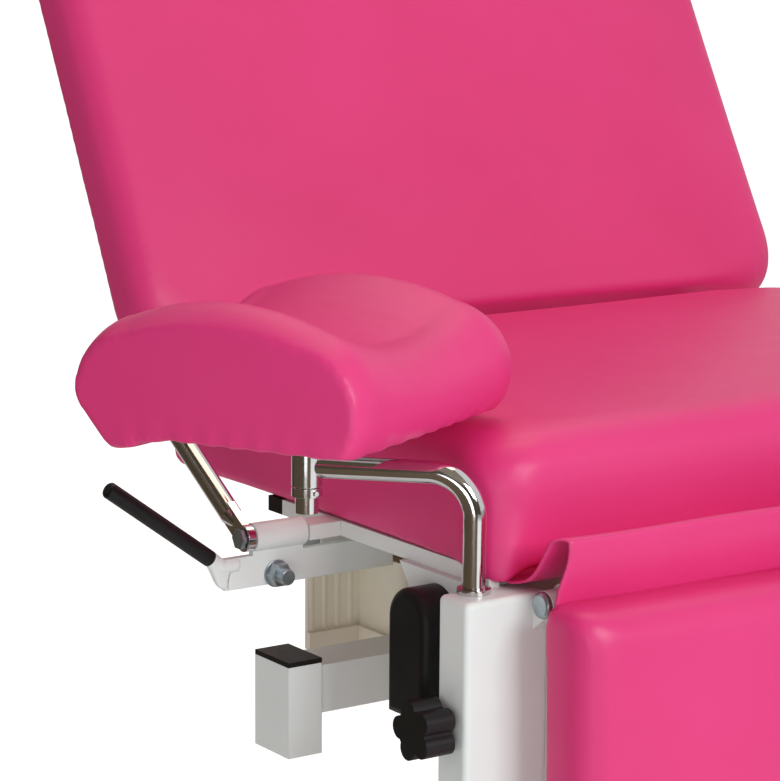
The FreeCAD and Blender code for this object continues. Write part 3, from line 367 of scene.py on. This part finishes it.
# %% [markdown]
# ## Upholstery
# A cushion here is a foam block on a plywood board, with vinyl pulled tight over it and stapled behind.
# The vinyl rounds every edge and the foam pushes the middle out. The plain solid is copied and remeshed
# into even squares. Then a short cloth simulation with air pressure inside swells it, while the
# stapled rim stays pinned. No point may travel further than a set limit, so the cushion keeps its size.

# %% Helpers for upholstery
def settle_mesh(piece):
    """Replaces a piece's mesh by what its modifiers make of it."""
    graph = bpy.context.evaluated_depsgraph_get()
    made = bpy.data.meshes.new_from_object(piece.evaluated_get(graph))
    piece.modifiers.clear()
    piece.data = made


def points_of(piece):
    flat = np.empty(len(piece.data.vertices) * 3)
    piece.data.vertices.foreach_get("co", flat)
    return flat.reshape(-1, 3)


def set_points(piece, points):
    piece.data.vertices.foreach_set("co", points.reshape(-1))
    piece.data.update()


first_rubs = 8
last_rubs = 3


def even_copy(node, name, square):
    """A copy of a CAD soft solid in even squares, with its facets rubbed smooth and its size kept."""
    piece = bpy.data.objects.new(name, nodes[node].data.copy())
    scene.collection.objects.link(piece)
    remesh = piece.modifiers.new("squares", "REMESH")
    remesh.mode = "VOXEL"
    remesh.voxel_size = square
    for turn, passes in enumerate((first_rubs, last_rubs)):
        if turn:
            back = piece.modifiers.new("back_to_size", "SHRINKWRAP")
            back.target = nodes[node]
            back.wrap_method = "NEAREST_SURFACEPOINT"
        rub = piece.modifiers.new("rub", "SMOOTH")
        rub.factor = 0.5
        rub.iterations = passes
    bpy.context.view_layer.update()
    settle_mesh(piece)
    wear(piece, vinyl)
    piece.data.shade_smooth()
    return piece


def height_over_base(piece, facing):
    """How far each point of a cushion is above its base, along the way it faces."""
    heights = points_of(piece) @ np.array(facing)
    return heights - heights.min()


def pin_rim(piece, heights, low, high):
    """Pins the stapled rim fully and lets go gradually further up the sides."""
    group = piece.vertex_groups.new(name="stapled")
    for index, height in enumerate(heights):
        hold = min(max((high - height) / (high - low), 0.0), 1.0)
        if hold > 0:
            group.add([index], hold, "REPLACE")


spread_share = 0.6


def spread_out(piece, travel, passes):
    """Shares each point's travel with its neighbours, so that a swell has no wrinkles in it."""
    ends = np.empty(len(piece.data.edges) * 2, dtype=np.int64)
    piece.data.edges.foreach_get("vertices", ends)
    first = np.concatenate((ends[0::2], ends[1::2]))
    second = np.concatenate((ends[1::2], ends[0::2]))
    count = len(travel)
    ties = np.maximum(np.bincount(first, minlength=count), 1)
    for _ in range(passes):
        around = [np.bincount(first, travel[second, axis], count) / ties for axis in range(3)]
        travel = (1 - spread_share) * travel + spread_share * np.stack(around, axis=1)
    return travel


def fill_with_air(piece, pressure):
    cloth = piece.modifiers.new("swell", "CLOTH")
    cloth.settings.quality = 4
    cloth.settings.mass = 0.4
    cloth.settings.tension_stiffness = 25.0
    cloth.settings.compression_stiffness = 25.0
    cloth.settings.bending_stiffness = 2.0
    cloth.settings.use_pressure = True
    cloth.settings.uniform_pressure_force = pressure
    cloth.settings.vertex_group_mass = "stapled"
    cloth.settings.effector_weights.gravity = 0.0
    cloth.collision_settings.use_collision = False


# %% [markdown]
# The four cushions are simulated together, frame by frame, because Blender then shares them among the
# processor's cores. The right crutch pad is a mirror image of the left one, so it needs no run of its own.

# %% Copy and swell the cushions
pad_low, pad_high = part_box("left_crutch_pad")
up = Vector((0, 0, 1))
forward = Vector((0, -1, 0))
back_lean = math.radians(27.8)
back_facing = Vector((0, -math.cos(back_lean), math.sin(back_lean)))
block_foam = 0.85
pad_foam = 0.9
cushion_plan = [
    # node, piece name, body, square, facing, pinned up to, free from, furthest swell, share of foam
    ("seat_cushion", "seat_upholstery", "seat", 0.006, up, 0.020, 0.060, 0.005, block_foam),
    ("backrest_cushion", "backrest_upholstery", "backrest", 0.006, back_facing, 0.012, 0.036, 0.008,
     block_foam),
    ("leg_rest_cushion", "leg_rest_upholstery", "leg_rest", 0.005, forward, 0.012, 0.036, 0.007, block_foam),
    ("left_crutch_pad", "left_crutch_upholstery", "left_crutch_head", 0.004, up, 0.010, 0.040, 0.004,
     pad_foam),
]
swell_frames = 20
swell_pressure = 4.0
swell_passes = 60

cushions = {}
for node, name, body, square, facing, low, high, limit, fill in cushion_plan:
    piece = even_copy(node, name, square)
    pin_rim(piece, height_over_base(piece, facing), low, high)
    cushions[name] = (piece, points_of(piece), limit)
    print(name, "has", len(piece.data.vertices), "points")

for piece, _, _ in cushions.values():
    fill_with_air(piece, swell_pressure)
for frame_number in range(1, swell_frames + 1):
    scene.frame_set(frame_number)
graph = bpy.context.evaluated_depsgraph_get()
for name, (piece, before, limit) in cushions.items():
    swollen = bpy.data.meshes.new_from_object(piece.evaluated_get(graph))
    after = np.empty(len(swollen.vertices) * 3)
    swollen.vertices.foreach_get("co", after)
    travel = after.reshape(-1, 3) - before
    travel = spread_out(piece, travel, swell_passes)
    length = np.linalg.norm(travel, axis=1, keepdims=True)
    travel *= limit / max(float(length.max()), limit)
    piece.modifiers.clear()
    set_points(piece, before + travel)
    print(name, "swelled by up to", round(float(length.max()) * 1000, 1), "mm, held to", limit * 1000)
scene.frame_set(1)

# %% [markdown]
# Where seat and backrest meet, the two cushions lean on each other, so these two edges are squarer than the
# free ones. Each edge is a quarter round at first. Pushing its points outwards towards the corner, most in
# the middle of the bend, squares it without making the cushion any larger. The lower end of the backrest
# also hangs a little over the gap, so that no daylight shows between them, and the squeezed foam of the seat
# rises a little there. At the two front corners the vinyl is pulled down over the ends of the rails.

# %% Press seat and backrest together
squareness = 5.0
seat_crown = 0.004
seat_bend = 0.036
back_crown = 0.008
back_bend = 0.026
back_overhang = 0.011
overhang_reach = 0.070
square_fade = 0.060
rear_rise = 0.004
rear_rise_reach = 0.090
front_lip = 0.012
front_lip_reach = 0.060
front_lip_height = 0.055
lip_inner = 0.040
lip_outer = 0.018
lip_flare = 0.008


def soft_step(values, start, end):
    """Goes smoothly from 0 at the start to 1 at the end."""
    share = np.clip((values - start) / (end - start), 0, 1)
    return share * share * (3 - 2 * share)


def square_edge(first, second, bend, share):
    """Moves points of a quarter-round edge outwards; both distances are measured from the two outer faces."""
    a = bend - first
    b = bend - second
    inside = (a > 0) & (b > 0)
    r = np.hypot(a, b)
    r = np.where(inside, r, 1.0)
    grow = ((np.abs(a) / r) ** squareness + (np.abs(b) / r) ** squareness)
    grow = np.where(inside, np.maximum(grow, 1e-6) ** (-1 / squareness) - 1, 0.0) * share
    return first - a * grow, second - b * grow


def clear_of_corners(x):
    return np.clip((np.abs(x).max() - square_fade - np.abs(x)) / square_fade, 0, 1)


seat_piece = cushions["seat_upholstery"][0]
points = points_of(seat_piece)
seat_back_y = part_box("seat_cushion")[1].y
seat_edge_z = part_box("seat_cushion")[1].z - seat_crown
behind, below = square_edge(seat_back_y - points[:, 1], seat_edge_z - points[:, 2], seat_bend,
                            clear_of_corners(points[:, 0]))
points[:, 1] = seat_back_y - behind
points[:, 2] = seat_edge_z - below
seat_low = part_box("seat_cushion")[0]
near_back = soft_step(points[:, 1], seat_back_y - rear_rise_reach, seat_back_y)
near_top = soft_step(points[:, 2], seat_low.z, seat_edge_z)
points[:, 2] += rear_rise * near_back * near_top
near_front = 1 - soft_step(points[:, 1], seat_low.y, seat_low.y + front_lip_reach)
near_base = 1 - soft_step(points[:, 2], seat_low.z, seat_low.z + front_lip_height)
half_seat = -seat_low.x
near_corner = soft_step(np.abs(points[:, 0]), half_seat - lip_inner, half_seat - lip_outer)
pulled = near_front * near_base * near_corner
points[:, 0] += np.sign(points[:, 0]) * lip_flare * pulled
points[:, 1] -= lip_flare * pulled
points[:, 2] -= front_lip * pulled
set_points(seat_piece, points)

back_piece = cushions["backrest_upholstery"][0]
points = points_of(back_piece)
slope = np.array((0, math.sin(back_lean), math.cos(back_lean)))
outward = np.array(back_facing)
along = points @ slope
over = points @ outward
from_end = along - along.min()
from_face = over.max() - back_crown - over
new_end, new_face = square_edge(from_end, from_face, back_bend, clear_of_corners(points[:, 0]))
near_end = np.clip(1 - from_end / overhang_reach, 0, 1) ** 2
new_end -= back_overhang * near_end
points += (new_end - from_end)[:, None] * slope - (new_face - from_face)[:, None] * outward
set_points(back_piece, points)
print("squared the meeting edges of seat and backrest")

# %% [markdown]
# Under each crutch pad the vinyl is pulled over the edge of its board and pleated. The pleats show as small
# ripples along the lower rim, deepest at the edge and gone three centimetres higher up. At the outer rear
# corner the foam is tucked in and the spare vinyl hangs in a small bag. Both are pushed straight into the
# mesh, because folds of this size cast real shadows.

# %% Pleat the rim of the crutch pad and mirror it
pleat_depth = 0.0006
pleat_height = 0.030
pleat_pitch = 0.021
pleat_wander = 2.2
pleat_shift = 0.7
bag_depth = 0.011
bag_height = 0.032
bag_ripple = 0.10
tuck_depth = 0.020
pad_rear = np.array((-0.457, 0.889))
pad_outer = np.array((-0.889, -0.457))
# start and end, in metres from the middle of the pad
rim_span = (0.075, 0.105)
bag_rear_span = (0.030, 0.110)
bag_outer_span = (0.010, 0.090)
tuck_span = (0.050, 0.120)


def pleat_rim(piece, base, middle):
    """Ripples the lower rim of a pad and tucks in its outer rear corner."""
    points = points_of(piece)
    normals = np.empty(len(points) * 3)
    piece.data.vertices.foreach_get("normal", normals)
    normals = normals.reshape(-1, 3)
    flat = points[:, :2] - np.array((middle.x, middle.y))
    around = np.arctan2(flat[:, 1], flat[:, 0])
    reach = np.linalg.norm(flat, axis=1)
    fade = np.clip(1 - (points[:, 2] - base) / pleat_height, 0, 1) ** 2
    outer = np.clip((reach - rim_span[0]) / (rim_span[1] - rim_span[0]), 0, 1)
    wander = pleat_wander * np.sin(3 * around + pleat_shift)
    wave = np.sin(around * reach.mean() * 2 * math.pi / pleat_pitch + wander)
    points += normals * (pleat_depth * wave * fade * outer)[:, None]
    to_corner = soft_step(flat @ pad_rear, *bag_rear_span) * soft_step(flat @ pad_outer, *bag_outer_span)
    to_rear = soft_step(flat @ pad_rear, *tuck_span)
    low = 1 - soft_step(points[:, 2], base, base + bag_height)
    points[:, :2] -= (tuck_depth * to_rear * low)[:, None] * pad_rear
    points[:, 2] -= bag_depth * (1 + bag_ripple * wave) * to_corner * low
    set_points(piece, points)


left_pad = cushions["left_crutch_upholstery"][0]
pleat_rim(left_pad, pad_low.z, (pad_low + pad_high) / 2)

right_pad = bpy.data.objects.new("right_crutch_upholstery", left_pad.data.copy())
scene.collection.objects.link(right_pad)
right_pad.data.transform(Matrix.Scale(-1, 4, Vector((1, 0, 0))))
right_pad.data.flip_normals()
print("pleated the rim every", pleat_pitch * 1000, "mm")

# %% [markdown]
# Each cushion now takes the place of its plain solid and rides on that solid's body. One level of subdivision
# rounds off the small squares. It stays a modifier, so that the mesh itself remains light.

# %% Hang the cushions on their bodies
for node, name, body, square, facing, low, high, limit, fill in cushion_plan:
    piece = cushions[name][0]
    piece.vertex_groups.clear()
    finer = piece.modifiers.new("finer", "SUBSURF")
    finer.levels = 1
    finer.render_levels = 1
    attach(piece, body)
    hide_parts(node)
finer = right_pad.modifiers.new("finer", "SUBSURF")
finer.levels = 1
finer.render_levels = 1
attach(right_pad, "right_crutch_head")
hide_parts("right_crutch_pad")
print("hung", len(cushions) + 1, "cushions")

# %% [markdown]
# ## The vinyl flap
# A loose sheet of the same vinyl bridges the gap between seat and leg rest. While the leg rest hangs, the
# sheet stands up in one rolled fold and falls behind the top of the leg rest. It is swept along a curve in
# the side view. Slow waves along its width and a small bow at its ends keep it from looking like bent metal.

# %% Sweep the flap
flap_half_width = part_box("front_flap")[1].x
flap_thickness = 0.0018
flap_columns = 168
flap_rows_per_run = 14
flap_slack = 0.4
fold_bow = 0.008
fold_row = 2 * flap_rows_per_run
flap_wave = 0.0011
flap_wave_lean = 0.7
slow_wave = 13.0
slow_shift = 0.6
quick_wave = 29.0
quick_share = 0.6
quick_drift = 0.03
flap_knots = [
    # forward of the rod, above the block, heading up from straight forward in degrees
    (-0.0060, 0.0117, -67.0),
    (0.0180, 0.0070, 14.0),
    (0.0560, 0.0450, 55.0),
    (0.0680, 0.0460, -84.0),
    (0.0632, -0.0035, -90.0),
]


def piece_from(build, name):
    """A new object in the scene from a finished bmesh."""
    mesh = bpy.data.meshes.new(name)
    build.to_mesh(mesh)
    build.free()
    piece = bpy.data.objects.new(name, mesh)
    scene.collection.objects.link(piece)
    return piece


def curve_point(start, first, second, end, t):
    """A point on the cubic curve between two places, drawn towards two handles."""
    s = 1 - t
    return start * s ** 3 + first * (3 * s * s * t) + second * (3 * s * t * t) + end * t ** 3


def flap_curve():
    """Points down the middle of the flap from its root to its hem."""
    places = [Vector((0, rod_foot.y - ahead, block_top + rise)) for ahead, rise, _ in flap_knots]
    ways = [Vector((0, -math.cos(math.radians(h)), math.sin(math.radians(h)))) for _, _, h in flap_knots]
    curve = [places[0]]
    for n in range(len(places) - 1):
        pull = (places[n + 1] - places[n]).length * flap_slack
        first = places[n] + ways[n] * pull
        second = places[n + 1] - ways[n + 1] * pull
        for step in range(1, flap_rows_per_run + 1):
            curve.append(curve_point(places[n], first, second, places[n + 1], step / flap_rows_per_run))
    return curve


def sweep_flap():
    """The flap as a single layer, and the length of its curve."""
    curve = flap_curve()
    flap_length = sum((b - a).length for a, b in zip(curve, curve[1:]))
    build = bmesh.new()
    rows = []
    for n, here in enumerate(curve):
        free = math.sin(math.pi * n / (len(curve) - 1)) ** 2
        past_fold = (n - fold_row) / (len(curve) - 1 - fold_row)
        bowed = math.sin(math.pi * past_fold) ** 2 if past_fold > 0 else 0.0
        row = []
        for column in range(flap_columns + 1):
            side = 2 * column / flap_columns - 1
            x = side * (flap_half_width - fold_bow * bowed)
            wave = math.sin(x * slow_wave + slow_shift)
            wave += quick_share * math.sin(x * quick_wave + n * quick_drift)
            lift = flap_wave * wave * free
            row.append(build.verts.new((x, here.y + flap_wave_lean * lift, here.z + lift)))
        rows.append(row)
    for low_row, high_row in zip(rows, rows[1:]):
        for c in range(flap_columns):
            build.faces.new((low_row[c], low_row[c + 1], high_row[c + 1], high_row[c]))
    bmesh.ops.recalc_face_normals(build, faces=build.faces)
    return piece_from(build, "flap"), flap_length


flap, flap_length = sweep_flap()
thick = flap.modifiers.new("thick", "SOLIDIFY")
thick.thickness = flap_thickness
thick.offset = 0.0
settle_mesh(flap)
wear(flap, vinyl)
flap.data.shade_smooth()
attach(flap, "seat")
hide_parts("front_flap")
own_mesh(flap)
print("flap cut", round(2 * flap_half_width, 3), "by", round(flap_length, 3), "m")

# %% [markdown]
# ## Small hardware
# Each release lever carries a stop stud below its bush: a zinc bolt through the plate with a nut on it.
# A hexagon and two turned steps are enough at this size. Each step is a closed prism, with many sides where
# it is round and six on the nut, and a small bevel takes off the sharp edges.

# %% Add the stop studs
def skin_rings(build, rings):
    """Closes a row of equal rings into a tube with two caps."""
    build.faces.new(rings[0])
    build.faces.new(rings[-1][::-1])
    for low_ring, high_ring in zip(rings, rings[1:]):
        for k in range(len(low_ring)):
            after = (k + 1) % len(low_ring)
            build.faces.new((low_ring[k], high_ring[k], high_ring[after], low_ring[after]))


stud_rounding = 0.0007


def turned_piece(name, steps):
    """A stack of round or many-sided steps along -Y: (radius, start, end, sides)."""
    build = bmesh.new()
    for radius, start, end, around in steps:
        lower = [build.verts.new((radius * math.cos(2 * math.pi * k / around), -start,
                                  radius * math.sin(2 * math.pi * k / around))) for k in range(around)]
        upper = [build.verts.new((v.co.x, -end, v.co.z)) for v in lower]
        skin_rings(build, [lower, upper])
    bmesh.ops.recalc_face_normals(build, faces=build.faces)
    piece = piece_from(build, name)
    rounding = piece.modifiers.new("rounding", "BEVEL")
    rounding.width = stud_rounding
    rounding.segments = 2
    return piece


stud_outward = 0.040
stud_drop = 0.0255
half_plate = 0.003
stud_steps = [(0.0115, 0.000, 0.0015, 32), (0.0105, 0.0015, 0.0095, 6), (0.0065, 0.0095, 0.0190, 28)]
lever_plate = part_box("left_release_lever")
for side, sign in (("left", 1), ("right", -1)):
    stud = turned_piece(side + "_lever_stud", stud_steps)
    pivot_y = (lever_plate[0].y + lever_plate[1].y) / 2
    stud.location = (sign * (rod_foot.x - stud_outward), pivot_y - half_plate, block_top - stud_drop)
    wear(stud, zinc)
    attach(stud, side + "_lever")
print("added the lever studs")

# %% [markdown]
# A release lever is a steel tube that is pressed flat where it carries its bush and stays round under the
# grip. The frame has the flat plate and the grip. The pressed neck between them is a loft: rings that change
# from a circle to a tall narrow slot along a bent line. Each ring is a superellipse, where power two is
# round and a higher power is squarer, so one formula draws them all.

# %% Press the necks of the release levers
grip_angle = math.radians(36.5)
neck_rings = 14
neck_sides = 40
neck_plate_end = 0.085
neck_plate_middle = 0.0237
neck_round = 0.0064
neck_tall = 0.0100
neck_thin = 0.0036
neck_square = 5.0
neck_in_grip = 0.002
neck_slack = 0.4
plate_slack = 0.12


def press_neck(name, sign):
    """The loft from the end of the plate into the foot of the grip; sign -1 mirrors it."""
    grip_low, grip_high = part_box("left_lever_grip")
    grip_radius = (grip_high.y - grip_low.y) / 2
    lean = Vector((-math.cos(grip_angle), 0, math.sin(grip_angle)))
    foot = Vector((grip_high.x - grip_radius * lean.z, (grip_low.y + grip_high.y) / 2,
                   grip_low.z - grip_radius * lean.x))
    start = Vector((rod_foot.x - neck_plate_end, foot.y, block_top - neck_plate_middle))
    end = foot + lean * neck_in_grip
    reach = (end - start).length
    first = start + Vector((-plate_slack * reach, 0, 0))
    second = end - lean * (neck_slack * reach)
    build = bmesh.new()
    rings = []
    for n in range(neck_rings + 1):
        t = n / neck_rings
        r = 1 - t
        here = curve_point(start, first, second, end, t)
        way = ((first - start) * r * r + (second - first) * (2 * r * t) + (end - second) * t * t).normalized()
        across = Vector((way.z, 0, -way.x))
        ease = t * t * (3 - 2 * t)
        tall = neck_tall + (neck_round - neck_tall) * ease
        thin = neck_thin + (neck_round - neck_thin) * ease
        power = 2 / (neck_square + (2 - neck_square) * ease)
        ring = []
        for k in range(neck_sides):
            turn = 2 * math.pi * k / neck_sides
            wide = math.copysign(abs(math.cos(turn)) ** power, math.cos(turn)) * thin
            high = math.copysign(abs(math.sin(turn)) ** power, math.sin(turn)) * tall
            spot = here + across * high + Vector((0, wide, 0))
            ring.append(build.verts.new((sign * spot.x, spot.y, spot.z)))
        rings.append(ring)
    skin_rings(build, rings)
    bmesh.ops.recalc_face_normals(build, faces=build.faces)
    piece = piece_from(build, name)
    piece.data.shade_smooth()
    return piece


for side, sign in (("left", 1), ("right", -1)):
    neck = press_neck(side + "_lever_neck", sign)
    wear(neck, white_paint)
    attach(neck, side + "_lever")
print("pressed two lever necks with", neck_rings, "rings")

# %% [markdown]
# ## The studio
# The chair stands on a plain white floor in soft light. The key light is a large panel straight in front, as
# the bright front faces in the picture show. A warmer panel overhead lights the tops, and a weak low panel on
# the camera's side reaches the hardware under the seat. The white surroundings fill the rest. They are
# dimmer as a light than in a reflection, so that shadows stay clear, and plain white to the camera. The floor
# glows a little for the camera alone, so that it stays white far from the lamps.
#
# Polished rods need something dark to reflect. Brown cards stand on the left, behind and in front, lie on the
# ground on the left and hang above, as in any photographer's studio. They show only in reflections.

# %% Lay the floor and light the chair
def flat_panel(name, width, height):
    build = bmesh.new()
    bmesh.ops.create_grid(build, x_segments=1, y_segments=1, size=0.5)
    for vertex in build.verts:
        vertex.co.x *= width
        vertex.co.y *= height
    return piece_from(build, name)


def aim(thing, place, target):
    thing.location = place
    thing.rotation_euler = (Vector(target) - Vector(place)).to_track_quat("-Z", "Y").to_euler()


floor_size = 80.0
floor_glow = 0.70


def make_floor_finish():
    finish, shader = new_finish("floor_white", screen_colour(244, 244, 243), roughness=0.9, specular=0.0)
    speck = ramp_of(finish, noise_of(finish, object_space(finish), scale=3.0), [
        (0.3, screen_colour(242, 242, 241)),
        (0.7, screen_colour(246, 246, 245)),
    ])
    join(finish, speck, shader.inputs["Base Color"])
    glow = add_node(finish, "ShaderNodeEmission")
    rays = add_node(finish, "ShaderNodeLightPath")
    power = add_node(finish, "ShaderNodeMath", operation="MULTIPLY")
    power.inputs[1].default_value = floor_glow
    join(finish, rays.outputs["Is Camera Ray"], power.inputs[0])
    join(finish, power.outputs[0], glow.inputs["Strength"])
    both = add_node(finish, "ShaderNodeAddShader")
    join(finish, shader.outputs["BSDF"], both.inputs[0])
    join(finish, glow.outputs["Emission"], both.inputs[1])
    join(finish, both.outputs["Shader"], finish.node_tree.nodes["Material Output"].inputs["Surface"])
    return finish


floor = flat_panel("floor", floor_size, floor_size)
wear(floor, make_floor_finish())

world = bpy.data.worlds.new("studio")
world.use_nodes = True
scene.world = world
surround_light = 0.40
surround_gloss = 0.68
surround = world.node_tree.nodes["Background"]
surround.inputs["Color"].default_value = (1, 1, 1, 1)
world_rays = add_node(world, "ShaderNodeLightPath")
in_gloss = range_of(world, world_rays.outputs["Is Glossy Ray"], surround_light, surround_gloss)
world_level = add_node(world, "ShaderNodeMapRange")
join(world, in_gloss, world_level.inputs["To Min"])
join(world, world_rays.outputs["Is Camera Ray"], world_level.inputs["Value"])
join(world, world_level.outputs["Result"], surround.inputs["Strength"])


def panel_light(name, place, target, width, height, power, colour):
    light = bpy.data.lights.new(name, "AREA")
    light.shape = "RECTANGLE"
    light.size = width
    light.size_y = height
    light.energy = power
    light.color = colour
    lamp = bpy.data.objects.new(name, light)
    scene.collection.objects.link(lamp)
    aim(lamp, place, target)
    return lamp


chair_middle = (-0.1, -0.1, 0.6)
panel_light("key_panel", (-0.1, -3.15, 1.8), chair_middle, width=1.3, height=1.0, power=46.0,
            colour=(0.93, 0.97, 1.0))
panel_light("fill_panel", (-2.2, -2.3, 0.45), chair_middle, width=1.0, height=0.8, power=9.0,
            colour=(0.96, 0.98, 1.0))
panel_light("top_panel", (0.3, 0.3, 3.4), chair_middle, width=2.2, height=2.2, power=26.0,
            colour=(1.0, 0.82, 0.64))


def make_card_finish(name, height, low_shade, high_shade):
    """Brown card that changes shade about its middle."""
    finish, shader = new_finish(name, low_shade, roughness=0.9, specular=0.0)
    across_card = add_node(finish, "ShaderNodeSeparateXYZ")
    join(finish, object_space(finish), across_card.inputs["Vector"])
    share = add_node(finish, "ShaderNodeMapRange", From_Min=-height / 2, From_Max=height / 2)
    join(finish, across_card.outputs["Y"], share.inputs["Value"])
    shade = ramp_of(finish, share.outputs["Result"], [(0.44, low_shade), (0.58, high_shade)])
    join(finish, shade, shader.inputs["Base Color"])
    return finish


def dark_card(name, place, target, width, height, low_shade, high_shade):
    """A dark wall that shows only in reflections."""
    card = flat_panel(name, width, height)
    aim(card, place, target)
    wear(card, make_card_finish(name, height, low_shade, high_shade))
    card.visible_camera = False
    card.visible_diffuse = False
    card.visible_shadow = False
    card.visible_transmission = False
    return card


dark_brown = screen_colour(112, 99, 82)
mid_brown = screen_colour(140, 126, 108)
light_brown = screen_colour(196, 184, 166)
wall_height = 5.2
wall_middle = wall_height / 2
dark_card("left_card", (-5.2, 2.5, wall_middle), (-0.4, 2.5, wall_middle), 16.0, wall_height,
          dark_brown, mid_brown)
dark_card("front_card", (-1.5, -5.6, wall_middle), (-1.5, -0.3, wall_middle), 8.0, wall_height,
          dark_brown, light_brown)
dark_card("rear_card", (-4.0, 6.0, wall_middle), (-4.0, 0.0, wall_middle), 9.0, wall_height,
          dark_brown, dark_brown)
dark_card("ground_card", (-4.55, -0.4, 0.004), (-4.55, -0.4, -1.0), 7.6, 12.0, dark_brown, dark_brown)
dark_card("over_card", (-2.2, -2.0, 5.6), (-2.2, -2.0, 0.0), 8.0, 8.0, light_brown, dark_brown)
print("studio lit")
